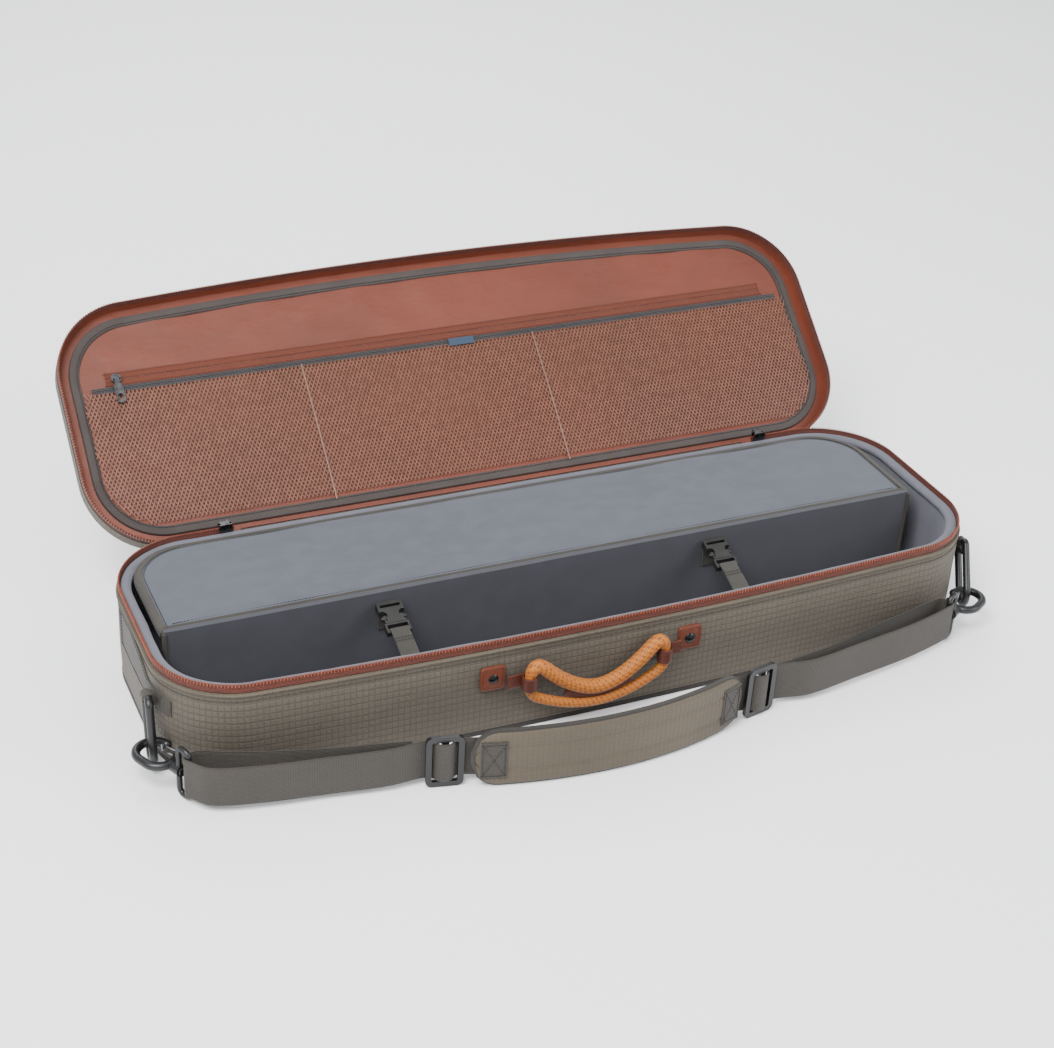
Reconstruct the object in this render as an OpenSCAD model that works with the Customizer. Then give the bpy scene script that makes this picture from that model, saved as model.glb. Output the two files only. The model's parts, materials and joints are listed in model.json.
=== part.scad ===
// Fly rod case: a padded fabric tray with a hinged zip-round lid, a padded divider with a cover
// flap, two tie-down straps with side-release buckles, a rope carrying handle and a clip-on
// shoulder strap. The origin is the middle of the underside, X runs along the case, Y to the back.

/* [Case] */
// Length of the case
case_l = 780; // [740:1:820]
// Depth of the case, front to back at the corners
case_d = 242.8; // [236:0.2:250]
// Height of the tray's fabric wall
tray_h = 86; // [84:1:92]
// Plan radius of the four corners
corner_r = 74; // [68:1:78]
// How far the front wall bows out at its middle
front_bow = 10; // [4:1:12]
// Height of each half of the main zip
zip_h = 10; // [9:0.5:11]

/* [Lid] */
// Height of the lid above its zip tape
lid_h = 17; // [16:1:22]
// How far the lid lies open, from closed
lid_open = 139.5; // [0:0.5:150]
// Width of the binding round the lid's inner panel
binding_w = 9; // [7:1:11]
// Distance of the pocket zip from the hinge
pocket_zip_v = 170; // [160:1:180]
// Length of the pocket zip
pocket_zip_l = 692; // [600:1:700]

/* [Divider] */
// Length of the padded divider and its flap
divider_l = 736; // [700:1:740]
// Distance of the divider's front face from the case front
divider_y = 90; // [84:1:98]
// Height of the flap's top face above the ground
flap_top_z = 97; // [96.5:0.5:98]
// Distance between the two tie-down straps
strap_pitch = 319; // [200:1:340]

/* [Carrying] */
// Distance between the two handle rivets
rivet_pitch = 187; // [170:1:200]
// Width of the shoulder strap's webbing
webbing_w = 38; // [34:1:40]
// Length of the shoulder pad
pad_l = 250; // [220:1:260]

/* [Hidden] */

$fn = 48;
gap = 0.3;             // clearance between pieces that move past each other
arc_steps = 12;        // straight runs in each quarter turn of the plan outline
bow_steps = 12;        // straight runs along the bowed front

half_l = case_l / 2;
half_d = case_d / 2;
corner_x = half_l - corner_r;
corner_y = half_d - corner_r;

// Wall build-up, measured inwards from the outside of the fabric
shell_t = 1.4;
foam_in = 8.4;
lining_in = 9.6;
lip_in = 12;
tape_out = 1;
tape_in = 2.2;

// Tray heights
base_t = 1.5;
board_top = 4;
floor_foam_top = 9;
floor_z = 10.2;
lip_z = 84;
lip_top = 90;
piping_h = 2.4;
piping_r = 1.2;
rim_z = tray_h + zip_h;
coil_h = 2.4;
coil_w = 2.6;

// Lid, drawn closed and then turned about the hinge line
hinge_y = half_d;
hinge_z = rim_z - 6.4;
lid_z = rim_z + gap;
lid_tape_z = lid_z + zip_h;
lid_top = lid_tape_z + lid_h;
panel_z = lid_top - 12;      // face of the lid's inner panel
hinge_half = 262;            // half the length of the fabric hinge, between the two zip ends

// Divider, flap and tie-downs
divider_t = 7;
divider_x = -6.5;
divider_z0 = floor_z + gap;
flap_t = 9;
flap_back = half_d - 17;
flap_r = 52;
tie_w = 17;
tie_t = 1.4;
tie_x0 = -16.5;
tie_slope = 20;
tie_top_y = divider_y - 2.6;
tie_top_z = 86;
buckle_w = 23;
buckle_t = 6;

// Handle
handle_x = -24;
handle_z = 59;
handle_tab = 23;
tab_t = 2.4;
handle_out = 22;             // how far the rope hangs in front of the rim line
loop_out = 64;
loop_z0 = 48;
loop_h = 14;
loop_r = 6.6;
rope_r = 6.6;
thin_rope_r = 4.4;

// Strap eye and swivel hook
eye_z = 25.5;
eye_h = 45;
eye_r = 2.5;
eye_l = 13;
barrel_r = 5;
barrel_back = 3;             // how far the swivel barrel reaches into the eye
barrel_l = 6.5;              // and how far it stands out of it
pin_r = 2.2;
pin_head = 2;
hook_bar = 3.8;
nose_r = 4.15;               // ball at the hook's open end
hook_turn = 14;
hook_run = 8;
hook_x0 = eye_l + barrel_l + gap + hook_bar;
loop_x = hook_x0 + hook_turn + hook_run;

// Wire gate of the hook, hinged on a lug at the end of the hook's bar
lug_angle = 128;
lug_out = 1.6;
lug_r = 2.4;
lug_t = 4;
gate_wire = 0.75;
gate_z = 2.9;
gate_x = hook_x0 + hook_turn + hook_turn * cos(lug_angle) + lug_out * sin(lug_angle);
gate_y = hook_turn * sin(lug_angle) - lug_out * cos(lug_angle);

// Hanging rings
ring_r = 3.5;
ring_w = 25;
ring_l = 58;
tab_r = ring_r + gap + 1.5;
band_t = 1.6;
tail_steps = 4;              // outline steps of the corner that the end band's tail follows
fold_w = 10;
fold_t = 3;
fold_reach = 16;

// Shoulder strap
webbing_t = 1.8;
webbing_z = 6.2;
strand_turn = 3.8;           // radius at which the webbing loops round an eye
glide_w = 32;
glide_t = 3.6;
glide_slot = 8;
glide_bar = 3;
pad_x = -33;
pad_h = 56;
pad_t = 9;
patch_t = 1.6;

// Main zip sliders
slider_x = hinge_half + 14;
slider_z = lip_top + gap;
slider_plate = 1.4;
slider_bridge = rim_z + 0.6;
slider_top = rim_z + 3;
main_pull_y = 3.6;
main_pull_z = rim_z + 1.6;
main_pull_l = 26;

// Pocket slider, measured down from the lid's inner panel
pocket_slider_x = 10 - pocket_zip_l / 2;
pocket_slider_z = panel_z - 2.5;
pocket_pull_l = 27;

function front(d) = d - half_d;
function unit(v) = v / norm(v);
function turned(v) = [-v[1], v[0]];

// Where each strap eye stands and which way its hook points
left_eye = [-380, front(-11)];
right_eye = [338, front(-22)];
left_hook_angle = 114.8;
right_hook_angle = 30.7;
left_ring_out = [-0.1, -0.995];
right_ring_out = [-0.345, -0.938];
left_ring_tilt = 12;
right_ring_tilt = 38;
left_ring_z = 66;
right_ring_z = 61;

// Middle of each tri-glide
left_glide = [-180, front(-61.5)];
right_glide = [116, front(-62)];
glide_angle = 12;

// ---------- plan outline and rings ----------

function corner(cx, cy, r, a0) =
    [for (i = [0:arc_steps]) let (a = a0 + 90 * i / arc_steps) [cx + r * cos(a), cy + r * sin(a)]];

function front_edge(inset) =
    [for (i = [1:bow_steps - 1]) let (s = 2 * i / bow_steps - 1)
        [s * corner_x, -half_d + inset - front_bow * (1 - s * s)]];

function plan(inset = 0) = let (r = corner_r - inset) concat(
    front_edge(inset),
    corner(corner_x, -corner_y, r, -90),
    corner(corner_x, corner_y, r, 0),
    corner(-corner_x, corner_y, r, 90),
    corner(-corner_x, -corner_y, r, 180));

module slab(inset, z0, z1) {
    translate([0, 0, z0]) linear_extrude(z1 - z0) polygon(plan(inset));
}

module band(outer, inner, z0, z1) {
    translate([0, 0, z0]) linear_extrude(z1 - z0) difference() {
        polygon(plan(outer));
        polygon(plan(inner));
    }
}

// Leaves out the stretch of a rim that the fabric hinge bridges
module without_hinge(half, z0, z1) {
    difference() {
        children();
        translate([-half, half_d - 20, z0 - 1]) cube([2 * half, 40, z1 - z0 + 2]);
    }
}

module box(lo, hi) {
    translate(lo) cube(hi - lo);
}

module rod(a, b, r) {
    d = b - a;
    l = norm(d);
    translate(a) rotate([0, acos(d[2] / l), atan2(d[1], d[0])]) cylinder(h = l, r = r);
}

// A round bar bent through an arc in the XY plane
module bend(c, r_bend, r_bar, a0, sweep) {
    translate(c) rotate([0, 0, a0]) rotate_extrude(angle = sweep) translate([r_bend, 0]) circle(r_bar);
}

module rounded_plate(w, h, r, t) {
    linear_extrude(t) union() {
        square([w - 2 * r, h], center = true);
        square([w, h - 2 * r], center = true);
        for (x = [-1, 1], y = [-1, 1]) translate([x * (w / 2 - r), y * (h / 2 - r)]) circle(r);
    }
}

// A ribbon of constant thickness that stands on a line of points
function side_point(p, i, off) = let (
    a = p[max(i - 1, 0)],
    b = p[min(i + 1, len(p) - 1)],
    n = turned(unit(b - a))) p[i] + n * off;

function ribbon(p, t) = concat(
    [for (i = [0:len(p) - 1]) side_point(p, i, t / 2)],
    [for (i = [len(p) - 1:-1:0]) side_point(p, i, -t / 2)]);

// Cubic curve through four control points
function bezier(a, b, c, d, n) = [for (i = [0:n]) let (s = i / n, q = 1 - s)
    q * q * q * a + 3 * q * q * s * b + 3 * q * s * s * c + s * s * s * d];

// ---------- tray ----------

module tray_shell() {
    color("#6e665a") union() {
        band(0, shell_t, 4, tray_h);
        band(1.2, shell_t + 1.2, base_t, 4);
    }
}

module base_panel() {
    color("#5f574c") slab(3, 0, base_t);
}

module base_board() {
    color("#3a3a3a") slab(3, base_t, board_top);
}

module tray_foam() {
    color("#8b8b8b") difference() {
        slab(shell_t, board_top, lip_z);
        slab(foam_in, floor_foam_top, lip_z + 1);
    }
}

module tray_lining() {
    color("#83838c") difference() {
        slab(foam_in, floor_foam_top, lip_z);
        slab(lining_in, floor_z, lip_z + 1);
    }
}

module rim_lip() {
    color("#8f8f9a") union() {
        band(2.4, lip_in, lip_z, lip_top - 1.5);
        band(3.6, lip_in - 1.2, lip_top - 1.5, lip_top);
    }
}

module tray_piping() {
    color("#8c8168") union() {
        band(-piping_r, 0, tray_h - piping_h * 0.75, tray_h - piping_h * 0.25);
        band(-piping_r * 0.5, 0, tray_h - piping_h * 0.25, tray_h);
        band(-piping_r * 0.5, 0, tray_h - piping_h, tray_h - piping_h * 0.75);
    }
}

module base_binding() {
    color("#3d382f") band(0, 3, 0, base_t);
}

module tray_zip_tape() {
    color("#964628") without_hinge(hinge_half, tray_h, rim_z) band(tape_out, tape_in, tray_h, rim_z - coil_h);
}

module tray_zip_coil() {
    color("#a04c2a") without_hinge(hinge_half, rim_z - coil_h, rim_z)
        band(tape_out - 0.7, tape_out - 0.7 + coil_w, rim_z - coil_h, rim_z);
}

module hinge_tape() {
    color("#6e665a") box([-hinge_half + 1, half_d - 1.6, tray_h], [hinge_half - 1, half_d, hinge_z - gap]);
}

// Reinforcing band across an end wall, with a narrow tail that follows the corner to the ring
module end_band(side) {
    top = tray_h - piping_h;
    y_back = front(166);
    arc = [for (i = [0:tail_steps]) let (a = -90 * i / arc_steps) [cos(a), sin(a)]];
    outline = [[-half_d, 52], [front(70), 47], [y_back, 44], [y_back, top], [front(112), top], [front(70), 69],
        [-half_d, 67]];
    color("#4f493f") mirror([side < 0 ? 1 : 0, 0, 0]) intersection() {
        linear_extrude(tray_h) polygon(concat(
            [[half_l, y_back]],
            [for (d = arc) [corner_x, -corner_y] + corner_r * d],
            [for (i = [tail_steps:-1:0]) [corner_x, -corner_y] + (corner_r + band_t) * arc[i]],
            [[half_l + band_t, y_back]]));
        translate([corner_x, 0, 0]) rotate([90, 0, 90]) linear_extrude(corner_r + 5) polygon(outline);
    }
}

// Webbing fold that holds a ring by its top bar; it is cut off where it meets the corner
module ring_fold(side) {
    color("#4f493f") difference() {
        union() {
            rod([-fold_w / 2, 0, 0], [fold_w / 2, 0, 0], tab_r);
            box([-fold_w / 2, min(0, -side * fold_reach), -fold_t / 2],
                [fold_w / 2, max(0, -side * fold_reach), fold_t / 2]);
        }
        rod([-fold_w, 0, 0], [fold_w, 0, 0], ring_r + gap);
    }
}

module end_band_left() {
    end_band(-1);
    difference() {
        at_ring(left_eye, left_hook_angle, left_ring_out, left_ring_tilt, left_ring_z) ring_fold(-1);
        slab(-band_t / 2, 0, tray_h);
    }
}

module end_band_right() {
    end_band(1);
    difference() {
        at_ring(right_eye, right_hook_angle, right_ring_out, right_ring_tilt, right_ring_z) ring_fold(1);
        slab(-band_t / 2, 0, tray_h);
    }
}

// ---------- divider and flap ----------

module divider_wall() {
    color("#5f636b") box(
        [divider_x - divider_l / 2 + 4, front(divider_y), divider_z0],
        [divider_x + divider_l / 2 - 4, front(divider_y + divider_t), flap_top_z]);
}

module divider_binding() {
    color("#55503f") for (s = [-1, 1]) translate([divider_x + s * (divider_l / 2 - 2), 0, 0])
        box([-2, front(divider_y - 0.8), divider_z0], [2, front(divider_y + divider_t), flap_top_z]);
}

function flap_plan(inset) = let (
    x = divider_l / 2 - flap_r,
    r = flap_r - inset,
    y = flap_back - flap_r,
    y0 = front(divider_y + divider_t) + gap) concat(
    [[divider_x - x - r, y0], [divider_x + x + r, y0]],
    [for (i = [0:arc_steps]) let (a = 90 * i / arc_steps) [divider_x + x + r * cos(a), y + r * sin(a)]],
    [for (i = [0:arc_steps]) let (a = 90 + 90 * i / arc_steps)
        [divider_x - x + r * cos(a), y + r * sin(a)]]);

module flap_top() {
    color("#6e717a") translate([0, 0, flap_top_z - flap_t]) linear_extrude(flap_t) polygon(flap_plan(3));
}

module flap_binding() {
    color("#55503f") translate([0, 0, flap_top_z - flap_t + 0.5]) linear_extrude(flap_t - 1) difference() {
        polygon(flap_plan(0));
        polygon(flap_plan(3));
    }
}

// ---------- tie-down straps ----------

// Local frame of a buckle: it hangs along -Z, its face towards -Y, and is tipped to the strap's slope
module at_tie(x) {
    translate([tie_x0 + x, front(tie_top_y), tie_top_z]) rotate([tie_slope - 90, 0, 0]) children();
}

// Socket half: a webbing bar, two open side windows and a hollow body
module buckle_female() {
    color("#2e2d2a") difference() {
        union() {
            translate([0, 0, -1.5]) rotate([90, 0, 0]) translate([0, 0, -buckle_t / 2])
                rounded_plate(buckle_w, 5, 2, buckle_t);
            box([-buckle_w / 2, -buckle_t / 2, -11], [buckle_w / 2, buckle_t / 2, -2.5]);
            box([-7, -buckle_t / 2, -20], [7, buckle_t / 2, -10.9]);
            box([-9.4, -buckle_t / 2, -22], [9.4, buckle_t / 2, -19.9]);
        }
        // webbing slot
        box([-tie_w / 2 - 0.7, -buckle_t, -5.4], [tie_w / 2 + 0.7, buckle_t, -2.6]);
        // hollow for the tongue and the two arms
        box([-6, -buckle_t / 2 + 1.3, -23], [6, buckle_t / 2 - 1.3, -8]);
        for (s = [-1, 1]) translate([s * 9.4, buckle_t / 2 + 1, -13.2]) rotate([90, 0, 0])
            cylinder(h = buckle_t + 2, r = 4);
        box([-9.5, -buckle_t / 2 + 1.3, -23], [9.5, buckle_t / 2 - 1.3, -10]);
    }
}

// Plug half: webbing bar, centre tongue and two sprung arms with release pads
module buckle_male() {
    t = buckle_t / 2 - 1.3 - gap;
    color("#2e2d2a") union() {
        difference() {
            box([-buckle_w / 2 + 0.5, -buckle_t / 2, -32], [buckle_w / 2 - 0.5, buckle_t / 2, -22.4]);
            box([-tie_w / 2 - 0.7, -buckle_t, -28.2], [tie_w / 2 + 0.7, buckle_t, -24.2]);
        }
        box([-1.6, -t, -22.5], [1.6, t, -12]);
        for (s = [-1, 1]) {
            translate([s * 7.6, 0, 0]) box([-1.3, -t, -22.5], [1.3, t, -13]);
            translate([s * 10, t, -15.6]) rotate([90, 0, 0]) cylinder(h = 2 * t, r = 1.5);
            translate([s * 8.8, 0, 0]) box([-1.2, -t, -17.1], [1.2, t, -14.1]);
        }
    }
}

// Point beside a buckle: l along its slope from the socket's top, off above its middle plane
function tie_point(l, off) = [front(tie_top_y) - l * cos(tie_slope) - off * sin(tie_slope),
    tie_top_z - l * sin(tie_slope) + off * cos(tie_slope)];

// Webbing of one tie-down: a sewn end on the divider behind the socket half, and the long end that
// lies over the plug half and then drops to the front wall
module tie_strap(x) {
    over = buckle_t / 2 + gap + tie_t / 2;
    start = tie_point(29, over);
    turn = tie_point(52, over);
    wall = front(lining_in) + tie_t / 2;
    path = concat([start], bezier(turn, tie_point(62, over), [wall + 2, 66], [wall, 52], 10));
    back = front(divider_y) - tie_t / 2;
    color("#6b6458") translate([tie_x0 + x - tie_w / 2, 0, 0]) rotate([90, 0, 90]) linear_extrude(tie_w) {
        polygon(ribbon(path, tie_t));
        polygon(ribbon([[back, 60], [back, 82.3]], tie_t));
    }
}

// ---------- handle ----------

// Outer face of the bowed front wall at a place along X
function wall_y(x) = -half_d - front_bow * (1 - pow(x / corner_x, 2));

module handle_tabs() {
    color("#8f3f22") for (s = [-1, 1]) translate([handle_x + s * rivet_pitch / 2, 0, 0])
        box([-handle_tab / 2, tab_face(s), handle_z - 12], [handle_tab / 2, tab_face(s) + tab_t, handle_z + 12]);
}

// Front face of a tab, which lies flat against the bow
function tab_face(s) = let (x = handle_x + s * rivet_pitch / 2)
    min(wall_y(x - handle_tab / 2), wall_y(x + handle_tab / 2)) - 0.05 - tab_t;

module handle_rivets() {
    for (s = [-1, 1]) color("#16161a") translate([handle_x + s * rivet_pitch / 2, tab_face(s), handle_z])
        rotate([90, 0, 0]) intersection() {
            cylinder(h = 4, r = 5.2);
            translate([0, 0, -3.4]) sphere(r = 6.4);
        }
}

// Leather loops that hang from the tabs and carry the ends of the rope
module handle_loops() {
    strap_l = rivet_pitch / 2 - handle_tab / 2 - loop_out - gap;
    color("#8a3c20") for (s = [-1, 1])
        translate([handle_x + s * loop_out, front(-handle_out), 0]) difference() {
        union() {
            translate([0, 0, loop_z0]) cylinder(h = loop_h, r = loop_r);
            translate([s < 0 ? -strap_l : 0, 0, loop_z0 + 1]) cube([strap_l, loop_r, loop_h - 2]);
        }
        translate([0, 0, loop_z0 - 1]) cylinder(h = loop_h + 2, r = loop_r - 1.4);
    }
}

// Closed tube through a ring of [point, radius] pairs that lies close to the XZ plane
module closed_tube(p, sides) {
    n = len(p);
    points = [for (i = [0:n - 1], k = [0:sides - 1]) let (
        t = unit(p[(i + 1) % n][0] - p[(i + n - 1) % n][0]),
        u = unit(cross(t, [0, 1, 0])),
        v = cross(u, t),
        a = 360 * k / sides) p[i][0] + p[i][1] * (cos(a) * u + sin(a) * v)];
    faces = [for (i = [0:n - 1], k = [0:sides - 1]) let (j = (i + 1) % n, m = (k + 1) % sides)
        [i * sides + k, i * sides + m, j * sides + m, j * sides + k]];
    polyhedron(points, faces);
}

// Height of the thick upper run and of the thin lower run at s, from -1 to 1 along the handle
function top_run(s) = 39 + 30 * pow(abs(s), 1.8);
function low_run(s) = 24 + 15 * s * s;
function rope_y(s) = front(-handle_out) - 3 * (1 - s * s);
function top_point(s) = [handle_x + 53 * s, rope_y(s), top_run(s)];
function low_point(s) = [handle_x + 58 * s, rope_y(s), low_run(s)];
function end_point(s, x, z) = [handle_x + s * x, front(-handle_out), z];

module handle_rope() {
    r = rope_r;
    t = thin_rope_r;
    e = loop_r - 1.9;
    n = 9;
    up = [[62.5, 44, t], [64, 49, e], [64, 57, e], [63.6, 63, e], [61, 68.5, 5.6], [57, 70.4, 6.4]];
    color("#cd8228") closed_tube(concat(
        [for (q = up) [end_point(-1, q[0], q[1]), q[2]]],
        [for (i = [0:2 * n]) [top_point(i / n - 1), r]],
        [for (i = [5:-1:0]) [end_point(1, up[i][0], up[i][1]), up[i][2]]],
        [for (i = [0:2 * n]) [low_point(1 - i / n), t]]), 12);
}

// Leather strip stitched between the two runs
module handle_grip() {
    m = 8;
    edge = 0.15;
    color("#7a3216") translate([0, rope_y(0) + 1, 0]) rotate([90, 0, 0]) linear_extrude(2) polygon(concat(
        [for (i = [0:m]) let (s = 1.1 * i / m - 0.55)
            [handle_x + 56 * s, low_run(s) + thin_rope_r + edge + 1.2 * s * s]],
        [for (i = [m:-1:0]) let (s = 1.1 * i / m - 0.55)
            [handle_x + 56 * s, top_run(s * 1.05) - rope_r - edge - 5 * s * s]]));
}

// ---------- D rings, swivel hooks ----------

// Frame of a hook: origin at the eye's strap bar, +X along the hook, Z up
module at_eye(eye, angle) {
    translate([eye[0], eye[1], eye_z]) rotate([0, 0, angle]) children();
}

module hook() {
    t = hook_turn;
    head = eye_l - barrel_back - gap;
    color("#26262a") difference() {
        union() {
            translate([hook_x0 + t, 0, 0]) {
                bend([0, 0, 0], t, hook_bar, lug_angle, 180 - lug_angle);
                bend([0, 0, 0], t, hook_bar, 180, 90);
                rod([0, -t, 0], [hook_run, -t, 0], hook_bar);
                bend([hook_run, 0, 0], t, hook_bar, -90, 180);
                translate([hook_run, t, 0]) sphere(r = nose_r);
            }
            translate([gate_x, gate_y, -lug_t / 2]) cylinder(h = lug_t, r = lug_r);
            // swivel pin with its head inside the eye and its collar outside
            rod([head - pin_head, 0, 0], [head, 0, 0], pin_r + 1.4);
            rod([head - 1, 0, 0], [hook_x0, 0, 0], pin_r);
            rod([hook_x0 - hook_bar, 0, 0], [hook_x0 - 1, 0, 0], barrel_r);
        }
        translate([gate_x, gate_y, -lug_t]) cylinder(h = 2 * lug_t, r = gate_wire + 0.08);
    }
}

// Sprung wire gate: two wires joined behind the nose and hinged on the lug
module gate() {
    tip = [loop_x - 0.6, hook_turn - hook_bar - gate_wire - 0.65];
    color("#c9c9cc") union() {
        for (z = [-gate_z, gate_z]) rod([gate_x, gate_y, z], [tip[0], tip[1], z], gate_wire);
        rod([gate_x, gate_y, -gate_z - 0.7], [gate_x, gate_y, gate_z + 0.7], gate_wire);
        rod([tip[0], tip[1], -gate_z - 0.7], [tip[0], tip[1], gate_z + 0.7], gate_wire);
    }
}

// Strap eye: a rounded frame of bar that the webbing loops round, with the swivel's barrel
module strap_eye() {
    h = eye_h / 2;
    r = 5;
    color("#26262a") difference() {
        union() {
            rod([0, 0, -h + r], [0, 0, h - r], eye_r);
            rod([eye_l, 0, -h + r], [eye_l, 0, h - r], eye_r);
            for (s = [-1, 1]) {
                rod([r, 0, s * h], [eye_l - r, 0, s * h], eye_r);
                translate([eye_l - r, 0, s * (h - r)]) rotate([90, 0, 0])
                    bend([0, 0, 0], r, eye_r, s > 0 ? 0 : -90, 90);
                translate([r, 0, s * (h - r)]) rotate([90, 0, 0])
                    bend([0, 0, 0], r, eye_r, s > 0 ? 90 : 180, 90);
            }
            rod([eye_l - barrel_back, 0, 0], [eye_l + barrel_l, 0, 0], barrel_r);
        }
        rod([eye_l - barrel_r, 0, 0], [hook_x0, 0, 0], pin_r + gap);
    }
}

// Tall D ring, drawn with its top bar on the X axis and its length along -Z
module d_ring() {
    r = 5;
    w = ring_w / 2;
    color("#26262a") union() {
        rod([-w + r, 0, 0], [w - r, 0, 0], ring_r);
        for (s = [-1, 1]) {
            translate([s * (w - r), 0, -r]) rotate([90, 0, 0]) bend([0, 0, 0], r, ring_r, s > 0 ? 0 : 90, 90);
            rod([s * w, 0, -r], [s * w, 0, -ring_l + w], ring_r);
        }
        translate([0, 0, -ring_l + w]) rotate([90, 0, 0]) bend([0, 0, 0], w, ring_r, 180, 180);
    }
}

// A ring is placed from its hook: its front limb crosses the middle of the hook's loop
module at_ring(eye, angle, out, tilt, top_z) {
    mid = eye + loop_x * [cos(angle), sin(angle)];
    reach = (top_z - eye_z) * tan(tilt) + ring_w / 2 / cos(tilt);
    top = mid - reach * out;
    translate([top[0], top[1], top_z]) rotate([0, 0, atan2(out[1], out[0])]) rotate([0, -tilt, 0])
        children();
}

module ring_left() {
    at_ring(left_eye, left_hook_angle, left_ring_out, left_ring_tilt, left_ring_z) d_ring();
}

module ring_right() {
    at_ring(right_eye, right_hook_angle, right_ring_out, right_ring_tilt, right_ring_z) d_ring();
}

// ---------- shoulder strap ----------

// Slider frame with a centre bar; webbing runs along X
module tri_glide() {
    color("#26262a") translate([0, glide_t / 2, webbing_z + webbing_w / 2]) rotate([90, 0, 0]) difference() {
        rounded_plate(glide_w, webbing_w + 12, 6, glide_t);
        for (s = [-1, 1]) translate([s * (glide_bar + glide_slot / 2), 0, -1])
            rounded_plate(glide_slot, webbing_w + 2, 1.5, glide_t + 2);
    }
}

// Path of the webbing through a tri-glide: behind the frame, over the centre bar, behind it again
function through_glide(g, d) = let (n = turned(d) * sign(d[0]), o = glide_t / 2 + webbing_t / 2 + 0.6) [
    g - 20 * d + o * n,
    g - 10.4 * d + o * n,
    g - 4.2 * d - o * n,
    g + 4.2 * d - o * n,
    g + 10.4 * d + o * n];

function pad_line() = bezier([pad_x - pad_l / 2, front(-69)], [pad_x - 40, front(-95)],
    [pad_x + 50, front(-96)], [pad_x + pad_l / 2, front(-66)], 12);

// Point just behind the pad, where the webbing is sewn on
function pad_back(i) = side_point(pad_line(), i, pad_t / 2 + webbing_t / 2 + 0.1);

module strap_strip(path) {
    color("#5a5348") translate([0, 0, webbing_z]) linear_extrude(webbing_w) polygon(ribbon(path, webbing_t));
}

// The webbing comes from behind, turns round the eye and runs along the front to the pad
module strap_webbing_left() {
    strap_strip(concat(
        [[-205, front(-50.4)], [-262, front(-39)], [-310, front(-25)], [-350, front(-12)], [-372, front(-3.6)]],
        [for (a = [100:28:240]) left_eye + strand_turn * [cos(a), sin(a)]],
        [[-368, front(-30)], [-330, front(-40)], [-273, front(-47)], [-225, front(-54)]],
        through_glide(left_glide, [cos(glide_angle), -sin(glide_angle)]),
        [pad_back(0), pad_back(1)]));
}

module strap_webbing_right() {
    strap_strip(concat(
        [[152, front(-53.4)], [205, front(-44)], [260, front(-30)], [310, front(-18)], [333, front(-13)]],
        [for (a = [50:-28:-90]) right_eye + strand_turn * [cos(a), sin(a)]],
        [[322, front(-31)], [280, front(-42)], [220, front(-53)], [170, front(-60)]],
        through_glide(right_glide, [-cos(glide_angle), -sin(glide_angle)]),
        [pad_back(12), pad_back(11)]));
}

module shoulder_pad() {
    color("#6f6554") intersection() {
        linear_extrude(pad_h) polygon(ribbon(pad_line(), pad_t));
        translate([pad_x, front(-40), pad_h / 2]) rotate([90, 0, 0]) rounded_plate(pad_l + 20, pad_h, 22, 80);
    }
}

// Sewn webbing ends on the pad's face
module pad_patches() {
    p = pad_line();
    off = -pad_t / 2 - patch_t / 2;
    color("#5a5348") translate([0, 0, 9]) linear_extrude(webbing_w) {
        polygon(ribbon([side_point(p, 0, off), side_point(p, 1, off)], patch_t));
        polygon(ribbon([side_point(p, 11, off), side_point(p, 12, off)], patch_t));
    }
}

// ---------- main zip sliders ----------

// Two plates on either side of the tape, tied by a bridge above the coil, with ears for the pull
module main_slider(side) {
    inner = -(tape_out - 0.7 + coil_w + gap);
    color("#4a4a4c") translate([side * slider_x, half_d, 0]) difference() {
        union() {
            box([-6, 0, slider_z], [6, slider_plate, slider_top]);
            box([-6, inner - slider_plate, slider_z], [6, inner, slider_top]);
            box([-4, inner - slider_plate, slider_bridge], [4, slider_plate, slider_top]);
            for (s = [-1, 1]) translate([3 * s, 0, 0])
                box([-0.7, slider_plate - 0.2, slider_bridge - 0.6], [0.7, main_pull_y + 1.6, slider_top]);
        }
        translate([0, main_pull_y, main_pull_z]) rod([-5, 0, 0], [5, 0, 0], 0.98);
    }
}

module main_pull(side) {
    color("#4a4a4c") translate([side * slider_x, half_d + main_pull_y, main_pull_z]) difference() {
        union() {
            rotate([90, 0, 0]) translate([0, -main_pull_l / 2, -0.7]) {
                rounded_plate(7, main_pull_l - 5, 3, 1.4);
                translate([0, main_pull_l / 4, 0]) rounded_plate(4.2, main_pull_l / 2, 1, 1.4);
            }
            rod([-3.7, 0, 0], [3.7, 0, 0], 0.9);
        }
        rotate([90, 0, 0]) translate([0, 7 - main_pull_l, -2]) rounded_plate(3.6, 6, 1.7, 4);
    }
}

// ---------- lid ----------

module opened() {
    translate([0, hinge_y, hinge_z]) rotate([-lid_open, 0, 0]) translate([0, -hinge_y, -hinge_z]) children();
}

module lid_shell() {
    color("#6e665a") opened() union() {
        slab(3.2, lid_top - 1.5, lid_top);
        band(1.2, 6, lid_top - 4, lid_top - 1.5);
        band(0, shell_t, lid_tape_z, lid_top - 4);
    }
}

module lid_foam() {
    color("#8b8b8b") opened() slab(6, panel_z + 1.4, lid_top - 1.5);
}

module lid_lining() {
    color("#96503a") opened() slab(6, panel_z, panel_z + 1.4);
}

// Soft inner side wall of the lid
module lid_side() {
    color("#8a3f28") opened() band(shell_t, shell_t + 1.2, lid_tape_z, lid_top - 4);
}

module lid_zip_tape() {
    color("#8a3f24") opened() without_hinge(hinge_half + 60, lid_z, lid_tape_z)
        band(tape_out, tape_in, lid_z + coil_h, lid_tape_z);
}

module lid_zip_coil() {
    color("#964628") opened() without_hinge(hinge_half + 60, lid_z, lid_z + coil_h)
        band(tape_out - 0.7, tape_out - 0.7 + coil_w, lid_z, lid_z + coil_h);
}

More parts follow.
